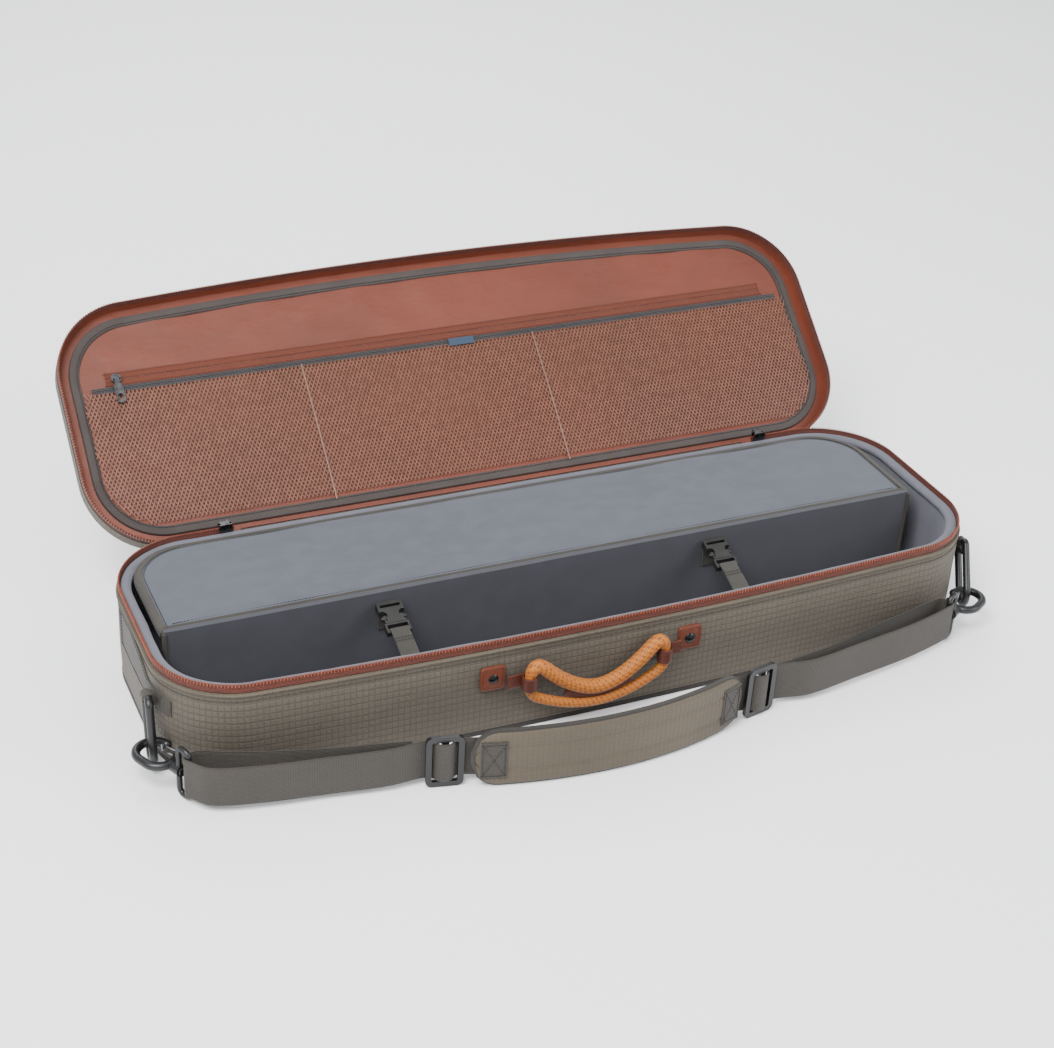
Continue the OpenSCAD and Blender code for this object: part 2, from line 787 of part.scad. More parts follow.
module lid_binding() {
    color("#5f5650") opened() band(12, 12 + binding_w, panel_z - 3, panel_z);
}

module lid_hinge_strip() {
    color("#6e665a") opened()
        box([-hinge_half + 1, half_d - 1.6, hinge_z + gap], [hinge_half - 1, half_d, lid_tape_z]);
}

// Point of the closed lid at distance v from the hinge
function lid_y(v) = hinge_y - v;

module pocket_zip() {
    l = pocket_zip_l / 2;
    color("#a0522d") opened() union() {
        box([-l, lid_y(pocket_zip_v + 7), panel_z - 1], [l, lid_y(pocket_zip_v - 7), panel_z]);
        box([-l, lid_y(pocket_zip_v + 2), panel_z - 2.2], [l, lid_y(pocket_zip_v - 2), panel_z - 1]);
    }
}

module mesh_panel() {
    color("#8c6a58") opened() intersection() {
        slab(20, panel_z - 4.2, panel_z - 3);
        box([-half_l, lid_y(157.8), panel_z - 5], [half_l, lid_y(10), panel_z]);
    }
}

module mesh_band() {
    color("#5f5d60") opened() intersection() {
        slab(12 + binding_w, panel_z - 4.6, panel_z - 0.4);
        box([-half_l, lid_y(162), panel_z - 5], [half_l, lid_y(157.8), panel_z]);
    }
}

module pocket_label() {
    color("#3f5566") opened() box([-9, lid_y(162), panel_z - 5.1], [18, lid_y(154), panel_z - 4.6]);
}

module at_pocket_slider(drop) {
    opened() translate([pocket_slider_x, lid_y(pocket_zip_v), pocket_slider_z - drop]) children();
}

// Slider body with two ears for the pull's pin
module pocket_slider() {
    color("#4a4a4c") at_pocket_slider(0) difference() {
        union() {
            translate([0, 0, -2]) rounded_plate(9, 8.4, 3, 2);
            for (s = [-1, 1]) translate([3 * s, 0, 0]) box([-0.7, -1.6, -5], [0.7, 1.6, -1.8]);
        }
        translate([0, 0, -3.6]) rod([-5, 0, 0], [5, 0, 0], 0.88);
    }
}

module pocket_pull() {
    color("#4a4a4c") at_pocket_slider(3.6) difference() {
        union() {
            rod([-3.7, 0, 0], [3.7, 0, 0], 0.8);
            translate([0, pocket_pull_l / 2 - 1 + 3, -0.7]) rounded_plate(8.4, pocket_pull_l - 6, 4, 1.4);
            translate([0, 5, -0.7]) rounded_plate(4.2, 12, 1, 1.4);
        }
        translate([0, pocket_pull_l - 7, -2]) rounded_plate(4.6, 6.6, 2.2, 4);
    }
}

// ---------- nodes ----------

tray_shell();
base_panel();
base_board();
tray_foam();
tray_lining();
rim_lip();
tray_piping();
base_binding();
tray_zip_tape();
tray_zip_coil();
hinge_tape();
end_band_left();
end_band_right();
divider_wall();
divider_binding();
flap_top();
flap_binding();
at_tie(-strap_pitch / 2) buckle_female();  // buckle_female_left
at_tie(strap_pitch / 2) buckle_female();  // buckle_female_right
at_tie(-strap_pitch / 2) buckle_male();  // buckle_male_left
at_tie(strap_pitch / 2) buckle_male();  // buckle_male_right
tie_strap(-strap_pitch / 2);  // tie_strap_left
tie_strap(strap_pitch / 2);  // tie_strap_right
handle_tabs();
handle_rivets();
handle_loops();
handle_rope();
handle_grip();
ring_left();
ring_right();
at_eye(left_eye, left_hook_angle) mirror([0, 1, 0]) hook();  // hook_left
at_eye(right_eye, right_hook_angle) hook();  // hook_right
at_eye(left_eye, left_hook_angle) mirror([0, 1, 0]) gate();  // gate_left
at_eye(right_eye, right_hook_angle) gate();  // gate_right
at_eye(left_eye, left_hook_angle) strap_eye();  // strap_eye_left
at_eye(right_eye, right_hook_angle) strap_eye();  // strap_eye_right
strap_webbing_left();
strap_webbing_right();
translate([left_glide[0], left_glide[1], 0]) rotate([0, 0, -glide_angle]) tri_glide();  // tri_glide_left
translate([right_glide[0], right_glide[1], 0]) rotate([0, 0, glide_angle]) tri_glide();  // tri_glide_right
shoulder_pad();
pad_patches();
main_slider(-1);  // main_slider_left
main_slider(1);  // main_slider_right
main_pull(-1);  // main_pull_left
main_pull(1);  // main_pull_right
lid_shell();
lid_foam();
lid_lining();
lid_side();
lid_zip_tape();
lid_zip_coil();
lid_binding();
lid_hinge_strip();
pocket_zip();
mesh_panel();
mesh_band();
pocket_label();
pocket_slider();
pocket_pull();
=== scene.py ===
import json
import math

import bmesh
import bpy
from mathutils import Matrix, Vector, noise


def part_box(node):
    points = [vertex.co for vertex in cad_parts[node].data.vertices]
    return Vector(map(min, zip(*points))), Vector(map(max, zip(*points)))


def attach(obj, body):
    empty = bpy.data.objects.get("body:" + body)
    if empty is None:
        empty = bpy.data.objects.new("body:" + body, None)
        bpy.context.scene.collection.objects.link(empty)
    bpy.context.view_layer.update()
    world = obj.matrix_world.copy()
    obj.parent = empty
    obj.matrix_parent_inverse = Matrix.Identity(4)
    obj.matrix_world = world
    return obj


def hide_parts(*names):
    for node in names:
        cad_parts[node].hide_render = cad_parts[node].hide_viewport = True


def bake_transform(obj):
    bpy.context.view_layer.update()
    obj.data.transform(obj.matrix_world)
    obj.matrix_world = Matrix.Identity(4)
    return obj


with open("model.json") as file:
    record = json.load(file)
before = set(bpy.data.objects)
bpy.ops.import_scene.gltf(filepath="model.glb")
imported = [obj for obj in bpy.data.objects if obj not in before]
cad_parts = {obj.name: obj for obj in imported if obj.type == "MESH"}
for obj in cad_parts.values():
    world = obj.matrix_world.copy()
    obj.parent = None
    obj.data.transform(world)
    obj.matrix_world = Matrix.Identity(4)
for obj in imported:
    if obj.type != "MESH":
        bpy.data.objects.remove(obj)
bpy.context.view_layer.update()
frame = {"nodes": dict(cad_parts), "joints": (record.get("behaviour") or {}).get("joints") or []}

bl_info = {
    "name": "Rod Case Maker",
    "version": (1, 0, 0),
    "blender": (4, 5, 0),
    "location": "View3D > Sidebar > Rod Case",
    "description": "Builds the fabric, zips, straps and fittings of a padded fishing rod case",
    "category": "Add Mesh",
}

JOINTS = {j["name"]: j for j in frame["joints"]}

# ---------- places taken from the frame ----------

SHELL_LO, SHELL_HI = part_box("tray_shell")
HALF_L = SHELL_HI.x
HALF_D = SHELL_HI.y
BOW = -SHELL_LO.y - HALF_D
TRAY_H = SHELL_HI.z
RIM_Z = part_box("tray_zip_coil")[1].z
FLOOR_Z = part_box("divider_wall")[0].z
CORNER_R = 0.074
CORNER_X = HALF_L - CORNER_R
CORNER_Y = HALF_D - CORNER_R
HINGE = Vector(JOINTS["lid_hinge"]["pos_m"])
LID_OPEN = math.radians(JOINTS["lid_hinge"]["range_deg"][1])
LID_TURN = (Matrix.Translation(HINGE) @ Matrix.Rotation(-LID_OPEN, 4, "X") @ Matrix.Translation(-HINGE))
LID_Z = RIM_Z + 0.0003
LID_TAPE_Z = LID_Z + 0.010
LID_TOP = LID_TAPE_Z + 0.017
PANEL_Z = LID_TOP - 0.012
MM = 0.001


# ---------- shader helpers ----------

class Val:
    """A number that changes over a surface. Arithmetic on it adds Math nodes."""

    def __init__(self, finish, socket):
        self.finish = finish
        self.socket = socket

    def math(self, operation, *others):
        node = self.finish.node("ShaderNodeMath", {"operation": operation}, self, *others)
        return Val(self.finish, node.outputs[0])

    def __add__(self, other):
        return self.math("ADD", other)

    def __sub__(self, other):
        return self.math("SUBTRACT", other)

    def __mul__(self, other):
        return self.math("MULTIPLY", other)

    def __truediv__(self, other):
        return self.math("DIVIDE", other)

    def __rsub__(self, other):
        node = self.finish.node("ShaderNodeMath", {"operation": "SUBTRACT"}, other, self)
        return Val(self.finish, node.outputs[0])

    __radd__ = __add__
    __rmul__ = __mul__

    def sin(self):
        return self.math("SINE")

    def wave(self, period):
        """A sine between 0 and 1 with this period."""
        return (self * (2 * math.pi / period)).sin() * 0.5 + 0.5

    def line(self, period, width):
        """1 on lines of this width that repeat with the period, 0 between them, with soft edges."""
        away = ((self / period).math("FRACT") - 0.5).math("ABSOLUTE") * period
        return self.finish.smooth(away, period / 2 - width, period / 2 - width * 0.4)


class Finish:
    """A material with one Principled shader, and short ways to add nodes to it."""

    def __init__(self, name, roughness=0.8, **constants):
        self.material = bpy.data.materials.new(name)
        self.material.use_nodes = True
        self.tree = self.material.node_tree
        self.shader = self.tree.nodes["Principled BSDF"]
        self.shader.inputs["Roughness"].default_value = roughness
        for key, value in constants.items():
            self.shader.inputs[key.replace("_", " ")].default_value = value

    def node(self, kind, settings, *inputs, **named):
        node = self.tree.nodes.new(kind)
        for key, value in settings.items():
            setattr(node, key, value)
        pairs = list(enumerate(inputs)) + [(key.replace("_", " "), value) for key, value in named.items()]
        for key, value in pairs:
            if value is None:
                continue
            if isinstance(value, Val):
                self.tree.links.new(value.socket, node.inputs[key])
            elif isinstance(value, bpy.types.NodeSocket):
                self.tree.links.new(value, node.inputs[key])
            else:
                node.inputs[key].default_value = value
        return node

    def place(self):
        """Object coordinates as a vector."""
        return self.node("ShaderNodeTexCoord", {}).outputs["Object"]

    def parts(self, vector):
        """x, y and z of a vector."""
        split = self.node("ShaderNodeSeparateXYZ", {}, vector)
        return [Val(self, s) for s in split.outputs]

    def cloth(self):
        """Distance along and across a piece, in metres, from its UV map."""
        vector = self.node("ShaderNodeUVMap", {"uv_map": "UVMap"}).outputs[0]
        return self.parts(vector)[:2]

    def noise(self, vector, scale, detail=2.0, stretch=(1, 1, 1)):
        mapped = self.node("ShaderNodeMapping", {}, vector, None, None, stretch).outputs[0]
        node = self.node("ShaderNodeTexNoise", {}, Vector=mapped, Scale=scale, Detail=detail)
        return Val(self, node.outputs[0])

    def cells(self, vector, scale):
        node = self.node("ShaderNodeTexVoronoi", {}, Vector=vector, Scale=scale)
        return Val(self, node.outputs[0])

    def smooth(self, value, low, high):
        node = self.node("ShaderNodeMapRange", {"interpolation_type": "SMOOTHSTEP"}, value, low, high, 0.0, 1.0)
        return Val(self, node.outputs[0])

    def attribute(self, name):
        return Val(self, self.node("ShaderNodeAttribute", {"attribute_name": name}).outputs["Fac"])

    def mix(self, factor, one, two):
        node = self.node("ShaderNodeMix", {"data_type": "RGBA"})
        for key, value in ((0, factor), (6, one), (7, two)):
            if isinstance(value, Val):
                self.tree.links.new(value.socket, node.inputs[key])
            elif isinstance(value, bpy.types.NodeSocket):
                self.tree.links.new(value, node.inputs[key])
            else:
                node.inputs[key].default_value = value
        return node.outputs[2]

    def color(self, socket):
        self.tree.links.new(socket, self.shader.inputs["Base Color"])

    def rough(self, value):
        self.tree.links.new(value.socket, self.shader.inputs["Roughness"])

    def bump(self, height, distance, strength=1.0):
        node = self.node("ShaderNodeBump", {}, Height=height, Distance=distance, Strength=strength)
        self.tree.links.new(node.outputs[0], self.shader.inputs["Normal"])


def rgb(r, g, b, k=0.55):
    """Linear colour from 0 to 255 display values, made lighter or darker by k."""
    def linear(c):
        c = c / 255
        return k * (c / 12.92 if c <= 0.04045 else ((c + 0.055) / 1.055) ** 2.4)
    return (linear(r), linear(g), linear(b), 1.0)


def shade(color, k):
    return (color[0] * k, color[1] * k, color[2] * k, 1.0)


# ---------- finishes ----------

def ripstop(name, base, grid_dark=0.62, period=(0.0052, 0.0062), grid_strength=1.0):
    """Taupe nylon with a darker square grid and a fine plain weave."""
    f = Finish(name, 0.74, Sheen_Weight=0.06, Sheen_Roughness=0.5)
    u, v = f.cloth()
    at = f.place()
    across = v.line(period[1], 0.0011)
    along = u.line(period[0], 0.0009)
    grid = across.math("MAXIMUM", along * 0.8) * grid_strength
    weave = u.wave(0.0011) * v.wave(0.0011)
    cloud = f.noise(at, 9.0, 3.0)
    speck = f.noise(at, 900.0, 1.0)
    body = f.mix(f.smooth(cloud, 0.3, 0.72), shade(base, 0.84), shade(base, 1.16))
    body = f.mix(f.smooth(speck, 0.35, 0.7) * 0.5, body, shade(base, 1.3))
    body = f.mix(weave * 0.25, body, shade(base, 0.7))
    f.color(f.mix(grid * 0.75, body, shade(base, grid_dark)))
    f.rough(0.78 - cloud * 0.12)
    soft = f.noise(at, 55.0, 3.0)
    f.bump(weave * 0.25 - grid * 0.5 + soft * 1.6, 0.0007, 0.8)
    return f.material


def plain_cloth(name, base, pitch=0.0009, sheen=0.08, variation=0.12, puff=1.0, roughness=0.86):
    """Plain woven or brushed cloth with faint clouds of colour."""
    f = Finish(name, roughness, Sheen_Weight=sheen, Sheen_Roughness=0.45)
    u, v = f.cloth()
    at = f.place()
    cloud = f.noise(at, 14.0, 4.0)
    fibre = f.noise(at, 1400.0, 2.0)
    weave = u.wave(pitch) * v.wave(pitch)
    body = f.mix(f.smooth(cloud, 0.28, 0.74), shade(base, 1 - variation), shade(base, 1 + variation))
    body = f.mix(f.smooth(fibre, 0.3, 0.75) * 0.45, body, shade(base, 0.72))
    f.color(f.mix(weave * 0.18, body, shade(base, 1.25)))
    f.bump(weave * 0.3 + fibre * 0.4 + f.noise(at, 70.0, 3.0) * puff, 0.0005, 0.7)
    return f.material


def brushed_panel(name, base):
    """Suede-like brushed knit: short nap, soft mottling and no visible weave."""
    f = Finish(name, 0.94, Sheen_Weight=0.11, Sheen_Roughness=0.6)
    at = f.place()
    nap = f.noise(at, 2200.0, 3.0)
    mottle = f.noise(at, 45.0, 5.0, (1, 1.6, 1))
    hand = f.noise(at, 6.0, 2.0)
    body = f.mix(f.smooth(mottle, 0.32, 0.7), shade(base, 0.9), shade(base, 1.1))
    body = f.mix(f.smooth(hand, 0.35, 0.65) * 0.4, body, shade(base, 1.12))
    f.color(f.mix(f.smooth(nap, 0.3, 0.7) * 0.3, body, shade(base, 0.78)))
    f.bump(nap * 0.6 + mottle * 0.5, 0.0004, 0.7)
    return f.material


def ribbed_webbing(name, base, rib=0.0016, strength=1.0):
    """Woven webbing: fine ribs across its width and rows along it."""
    f = Finish(name, 0.7, Sheen_Weight=0.09, Sheen_Roughness=0.4)
    u, v = f.cloth()
    at = f.place()
    ribs = v.wave(rib)
    picks = (u + v.wave(rib * 2) * 0.0004).wave(0.0014)
    cloud = f.noise(at, 20.0, 3.0)
    body = f.mix(f.smooth(cloud, 0.3, 0.7), shade(base, 0.88), shade(base, 1.12))
    body = f.mix(ribs * 0.38, body, shade(base, 1.42))
    f.color(f.mix(picks * ribs * 0.35, body, shade(base, 0.6)))
    f.bump((ribs * 0.8 + picks * 0.4) * strength + f.noise(at, 400.0, 2.0) * 0.3, 0.0006, 0.9)
    return f.material


def grosgrain(name, base, rib=0.0011):
    """Binding tape with fine cross ribs."""
    f = Finish(name, 0.72, Sheen_Weight=0.07, Sheen_Roughness=0.4)
    u = f.cloth()[0]
    at = f.place()
    ribs = u.wave(rib)
    cloud = f.noise(at, 30.0, 3.0)
    body = f.mix(f.smooth(cloud, 0.3, 0.72), shade(base, 0.84), shade(base, 1.16))
    f.color(f.mix(ribs * 0.4, body, shade(base, 1.4)))
    f.bump(ribs * 0.7 + f.noise(at, 120.0, 3.0) * 0.9, 0.0005, 0.9)
    return f.material


def coated_nylon(name, base):
    """Rust lining: thin coated nylon with a slight shine, fine weave and creases, whose ridges carry a painted
    highlight.
    """
    f = Finish(name, 0.5, Sheen_Weight=0.05, Sheen_Roughness=0.3)
    at = f.place()
    x, y, z = f.parts(at)
    weave = x.wave(0.0008) * (y + z).wave(0.0011)
    cloud = f.noise(at, 8.0, 4.0)
    crease_and_highlight = f.noise(at, 22.0, 4.0, (1.0, 2.2, 2.2))
    body = f.mix(f.smooth(cloud, 0.3, 0.7), shade(base, 0.86), shade(base, 1.12))
    # Crease ridges are painted lighter: a painted highlight on top of the real crease bumps and shine.
    body = f.mix(f.smooth(crease_and_highlight, 0.52, 0.68) * 0.3, body, shade(base, 1.3))
    f.color(f.mix(weave * 0.2, body, shade(base, 0.8)))
    f.rough(0.62 - crease_and_highlight * 0.2)
    f.bump(crease_and_highlight * 1.5 + weave * 0.12, 0.0016, 0.7)
    return f.material


def zip_tape_cloth(name, base):
    """Woven zip tape: narrow lengthwise cords with a dull shine."""
    f = Finish(name, 0.62, Sheen_Weight=0.06, Sheen_Roughness=0.4)
    u, v = f.cloth()
    at = f.place()
    cords = v.wave(0.0013)
    picks = u.wave(0.0010)
    cloud = f.noise(at, 40.0, 3.0)
    body = f.mix(f.smooth(cloud, 0.3, 0.7), shade(base, 0.85), shade(base, 1.12))
    body = f.mix(cords * 0.45, shade(base, 0.55), body)
    f.color(f.mix(picks * 0.2, body, shade(base, 1.3)))
    f.bump(cords * 0.8 + picks * 0.3, 0.0005, 0.9)
    return f.material


def nylon_coil(name, base):
    """Moulded nylon filament with a soft shine."""
    f = Finish(name, 0.34, Coat_Weight=0.25, Coat_Roughness=0.3)
    at = f.place()
    tint = f.noise(at, 160.0, 2.0)
    f.color(f.mix(f.smooth(tint, 0.3, 0.7), shade(base, 0.82), shade(base, 1.2)))
    f.rough(tint * 0.2 + 0.26)
    f.bump(f.noise(at, 1500.0, 1.0), 0.0001, 0.4)
    return f.material


def leather(name, base):
    """Oiled leather: pebbled grain, darker pull-up clouds and paler worn edges."""
    f = Finish(name, 0.48, Coat_Weight=0.1, Coat_Roughness=0.45)
    at = f.place()
    warp = f.noise(at, 60.0, 4.0)
    grain = f.cells(at, 950.0)
    cloud = f.noise(at, 26.0, 4.0)
    body = f.mix(f.smooth(cloud, 0.3, 0.72), shade(base, 0.72), shade(base, 1.2))
    edge = f.node("ShaderNodeNewGeometry", {}).outputs["Pointiness"]
    worn = f.smooth(Val(f, edge), 0.52, 0.62)
    body = f.mix(worn * 0.45, body, shade(base, 1.7))
    f.color(f.mix(f.smooth(grain, 0.0, 0.4) * 0.3, shade(base, 0.6), body))
    f.rough(0.4 + warp * 0.25)
    f.bump(grain * 0.7 + warp * 0.8, 0.0004, 0.7)
    return f.material


def braid(name, base, fleck):
    """Braided cord: each strand bundle is lit by its own height, with rust flecks woven in."""
    f = Finish(name, 0.66, Sheen_Weight=0.10, Sheen_Roughness=0.35)
    at = f.place()
    height = f.attribute("strand")
    mark = f.attribute("fleck")
    fibre = f.noise(at, 1800.0, 2.0)
    body = f.mix(f.smooth(height, 0.1, 0.8), shade(fleck, 0.45), shade(base, 1.12))
    body = f.mix(mark * 0.9, body, fleck)
    f.color(f.mix(f.smooth(fibre, 0.3, 0.7) * 0.3, body, shade(base, 0.7)))
    f.bump(fibre * 0.6, 0.0003, 0.7)
    return f.material


def moulded_plastic(name, base, roughness=0.42, grain=1.0):
    """Injection-moulded acetal: fine spark texture, soft highlights, faint handling marks."""
    f = Finish(name, roughness, Specular_IOR_Level=0.5)
    at = f.place()
    spark = f.noise(at, 2600.0, 2.0)
    rub = f.noise(at, 90.0, 4.0)
    f.color(f.mix(f.smooth(rub, 0.35, 0.75), shade(base, 0.8), shade(base, 1.35)))
    f.rough(roughness - 0.08 + rub * 0.2)
    f.bump(spark * grain, 0.00012, 0.6)
    return f.material


def plated_metal(name, base, roughness=0.3, metallic=1.0):
    """Cast and plated zinc or bright wire, with a light tumbled texture."""
    f = Finish(name, roughness, Metallic=metallic)
    at = f.place()
    rub = f.noise(at, 240.0, 4.0)
    f.color(f.mix(f.smooth(rub, 0.3, 0.7), shade(base, 0.75), shade(base, 1.25)))
    f.rough(roughness - 0.1 + rub * 0.25)
    f.bump(f.noise(at, 700.0, 2.0), 0.00008, 0.5)
    return f.material


FINISHES = {}


def finish(name):
    """Makes each finish once."""
    if name in FINISHES:
        return FINISHES[name]
    s = bpy.context.scene.rod_case
    taupe = tuple(s.shell_color)
    rust = tuple(s.lining_color)
    makers = {
        "shell_ripstop": lambda: ripstop("shell_ripstop", taupe),
        "shell_plain": lambda: ripstop("shell_plain", shade(taupe, 0.92), 0.8, (0.0026, 0.0026), 0.35),
        "base_cloth": lambda: plain_cloth("base_cloth", rgb(88, 81, 70)),
        # The base binding is a real part; its near-black colour is a painted shadow along the line where the
        # case meets the floor.
        "base_tape_painted_shadow": lambda: grosgrain("base_tape_painted_shadow", rgb(38, 33, 27)),
        "band_webbing": lambda: ribbed_webbing("band_webbing", rgb(72, 66, 58), 0.0013, 0.6),
        "piping_cord": lambda: grosgrain("piping_cord", rgb(106, 95, 76), 0.0014),
        "grey_tricot": lambda: brushed_panel("grey_tricot", rgb(112, 112, 124)),
        "panel_blue": lambda: brushed_panel("panel_blue", rgb(88, 92, 103)),
        # panel_blue made darker: painted shade for the divider's front, which stands in shade.
        "panel_blue_painted_shade": lambda: brushed_panel("panel_blue_painted_shade", rgb(60, 61, 70)),
        "olive_binding": lambda: grosgrain("olive_binding", rgb(60, 55, 47)),
        "lid_binding_tape": lambda: grosgrain("lid_binding_tape", rgb(76, 66, 62)),
        "rust_nylon": lambda: coated_nylon("rust_nylon", rust),
        "zip_rust": lambda: zip_tape_cloth("zip_rust", rgb(124, 48, 24)),
        "pocket_tape": lambda: zip_tape_cloth("pocket_tape", rgb(142, 62, 28)),
        "coil_rust": lambda: nylon_coil("coil_rust", rgb(158, 74, 40)),
        "coil_pocket": lambda: nylon_coil("coil_pocket", rgb(118, 50, 26)),
        "mesh_yarn": lambda: nylon_coil("mesh_yarn", rgb(134, 88, 66)),
        "band_grey": lambda: grosgrain("band_grey", rgb(80, 76, 78)),
        "label_blue": lambda: plain_cloth("label_blue", rgb(62, 84, 108), 0.0007),
        "leather_rust": lambda: leather("leather_rust", rgb(140, 62, 28)),
        "leather_dark": lambda: leather("leather_dark", rgb(118, 48, 24)),
        "rope_orange": lambda: braid("rope_orange", rgb(216, 128, 30), rgb(150, 62, 18)),
        "buckle_plastic": lambda: moulded_plastic("buckle_plastic", rgb(40, 39, 35), 0.5),
        "hook_plastic": lambda: moulded_plastic("hook_plastic", rgb(26, 26, 28), 0.34),
        "tie_webbing": lambda: ribbed_webbing("tie_webbing", rgb(66, 62, 54), 0.0015),
        "strap_webbing": lambda: ribbed_webbing("strap_webbing", rgb(64, 57, 49), 0.0013),
        "pad_cloth": lambda: ripstop("pad_cloth", rgb(98, 86, 68), 0.8, (0.0044, 0.0044), 0.6),
        "pad_binding": lambda: grosgrain("pad_binding", rgb(50, 45, 39)),
        "thread_taupe": lambda: grosgrain("thread_taupe", rgb(76, 69, 58)),
        "thread_dark": lambda: grosgrain("thread_dark", rgb(34, 31, 29)),
        "thread_rust": lambda: grosgrain("thread_rust", rgb(112, 50, 28)),
        "thread_grey": lambda: grosgrain("thread_grey", rgb(120, 112, 106)),
        "gunmetal": lambda: plated_metal("gunmetal", rgb(120, 120, 122), 0.28),
        "bright_wire": lambda: plated_metal("bright_wire", rgb(214, 214, 216), 0.2),
        "rivet_black": lambda: plated_metal("rivet_black", rgb(40, 40, 42), 0.22, 0.6),
    }
    FINISHES[name] = makers[name]()
    return FINISHES[name]


# ---------- mesh helpers ----------

class Build:
    """Collects vertices, faces and UVs in metres, and turns them into one object."""

    def __init__(self):
        self.verts = []
        self.faces = []
        self.uvs = []
        self.slots = []
        self.marks = {}

    def face(self, corners, uvs, slot=0):
        self.faces.append(corners)
        self.uvs.append(uvs)
        self.slots.append(slot)

    def grid(self, rows, us, vs, wrap=False, slot=0):
        """Rows of points joined by quads. us has one more entry than a row has points if it wraps."""
        base = len(self.verts)
        n = len(rows[0])
        for row in rows:
            self.verts.extend(row)
        for j in range(len(rows) - 1):
            for i in range(n if wrap else n - 1):
                k = (i + 1) % n
                self.face(
                    [base + j * n + i, base + j * n + k, base + (j + 1) * n + k, base + (j + 1) * n + i],
                    [(us[i], vs[j]), (us[i + 1], vs[j]), (us[i + 1], vs[j + 1]), (us[i], vs[j + 1])],
                    slot,
                )
        return base, n, len(rows)

    def cap(self, first, count, flip=False, slot=0):
        """Closes a ring of vertices with a fan of triangles."""
        ring = [self.verts[first + i] for i in range(count)]
        centre = sum(ring, Vector()) / count
        hub = len(self.verts)
        self.verts.append(centre)
        for i in range(count):
            corners = [first + i, first + (i + 1) % count, hub]
            if flip:
                corners = [corners[1], corners[0], hub]
            self.face(corners, [(self.verts[c].x, self.verts[c].y) for c in corners], slot)

    def object(self, name, materials, body, replaces=(), smooth=35):
        mesh = bpy.data.meshes.new(name)
        mesh.from_pydata([tuple(v) for v in self.verts], [], self.faces)
        layer = mesh.uv_layers.new(name="UVMap")
        flat = [c for face in self.uvs for uv in face for c in uv]
        layer.data.foreach_set("uv", flat)
        mesh.polygons.foreach_set("material_index", self.slots)
        for m in materials:
            mesh.materials.append(finish(m))
        work = bmesh.new()
        work.from_mesh(mesh)
        bmesh.ops.remove_doubles(work, verts=work.verts, dist=1e-6)
        bmesh.ops.recalc_face_normals(work, faces=work.faces)
        work.to_mesh(mesh)
        work.free()
        for mark, values in self.marks.items():
            if len(values) == len(mesh.vertices):
                mesh.attributes.new(mark, "FLOAT", "POINT").data.foreach_set("value", values)
        mesh.set_sharp_from_angle(angle=math.radians(smooth))
        mesh.validate()
        obj = bpy.data.objects.new(name, mesh)
        bpy.context.scene.collection.objects.link(obj)
        return place(obj, body, replaces)


def place(obj, body, replaces=()):
    """Rides on a body named by body; for any other body the object's transform is only baked in."""
    if isinstance(body, str):
        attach(obj, body)
    else:
        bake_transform(obj)
    if replaces:
        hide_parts(*replaces)
    return obj


def plan(inset, fine=0.004):
    """Points round the case this far inside its outline, counter-clockwise from the back centre."""
    r = CORNER_R - inset
    points = []

    def corner(cx, cy, start):
        count = round(CORNER_R * math.pi / 2 / fine)
        for i in range(count):
            a = math.radians(start + 90 * i / count)
            points.append(Vector((cx + r * math.cos(a), cy + r * math.sin(a), 0)))

    half = round(CORNER_X / fine)
    for i in range(half):
        points.append(Vector((-CORNER_X * i / half, HALF_D - inset, 0)))
    corner(-CORNER_X, CORNER_Y, 90)
    ends = round(2 * CORNER_Y / fine)
    for i in range(ends):
        points.append(Vector((inset - HALF_L, CORNER_Y - 2 * CORNER_Y * i / ends, 0)))
    corner(-CORNER_X, -CORNER_Y, 180)
    for i in range(2 * half):
        x = -CORNER_X + CORNER_X * i / half
        points.append(Vector((x, inset - HALF_D - BOW * (1 - (x / CORNER_X) ** 2), 0)))
    corner(CORNER_X, -CORNER_Y, 270)
    for i in range(ends):
        points.append(Vector((HALF_L - inset, -CORNER_Y + 2 * CORNER_Y * i / ends, 0)))
    corner(CORNER_X, CORNER_Y, 0)
    for i in range(half):
        points.append(Vector((CORNER_X - CORNER_X * i / half, HALF_D - inset, 0)))
    return points


def lengths(points, closed=False):
    """Distance along a run of points, with a last entry back to the start if closed."""
    total = [0.0]
    for a, b in zip(points, points[1:] + (points[:1] if closed else [])):
        total.append(total[-1] + (b - a).length)
    return total if closed else total[:len(points)]


def opened(points):
    """Moves points given with the lid shut to where it rests open."""
    return [LID_TURN @ p for p in points]


def ring(inset, z, shrink=1.0, move=None, ripple=None):
    """A closed row of points at one inset and height."""
    points = []
    for p in plan(inset):
        q = Vector((p.x * shrink, p.y * shrink, z))
        points.append(ripple(q) if ripple else q)
    return opened(points) if move else points


def loft(build, profile, move=None, ripple=None, slot=0, close_low=False, close_high=False):
    """Joins rings given as (inset, z) or (inset, z, shrink) from first to last."""
    rows = [ring(p[0], p[1], p[2] if len(p) > 2 else 1.0, move, ripple) for p in profile]
    around = lengths(ring(0, 0), True)
    up = [0.0]
    for a, b in zip(rows, rows[1:]):
        up.append(up[-1] + (b[0] - a[0]).length)
    first = len(build.faces)
    base, n, count = build.grid(rows, around, up, True, slot)
    flat = [ring(p[0], p[1], p[2] if len(p) > 2 else 1.0) for p in profile]
    for j, (low, high) in enumerate(zip(profile, profile[1:])):
        if len(low) > 2 or len(high) > 2:
            for i in range(n):
                k = (i + 1) % n
                corners = (flat[j][i], flat[j][k], flat[j + 1][k], flat[j + 1][i])
                build.uvs[first + j * n + i] = [(c.x, c.y) for c in corners]
    if close_low:
        build.cap(base, n, True, slot)
    if close_high:
        build.cap(base + (count - 1) * n, n, False, slot)


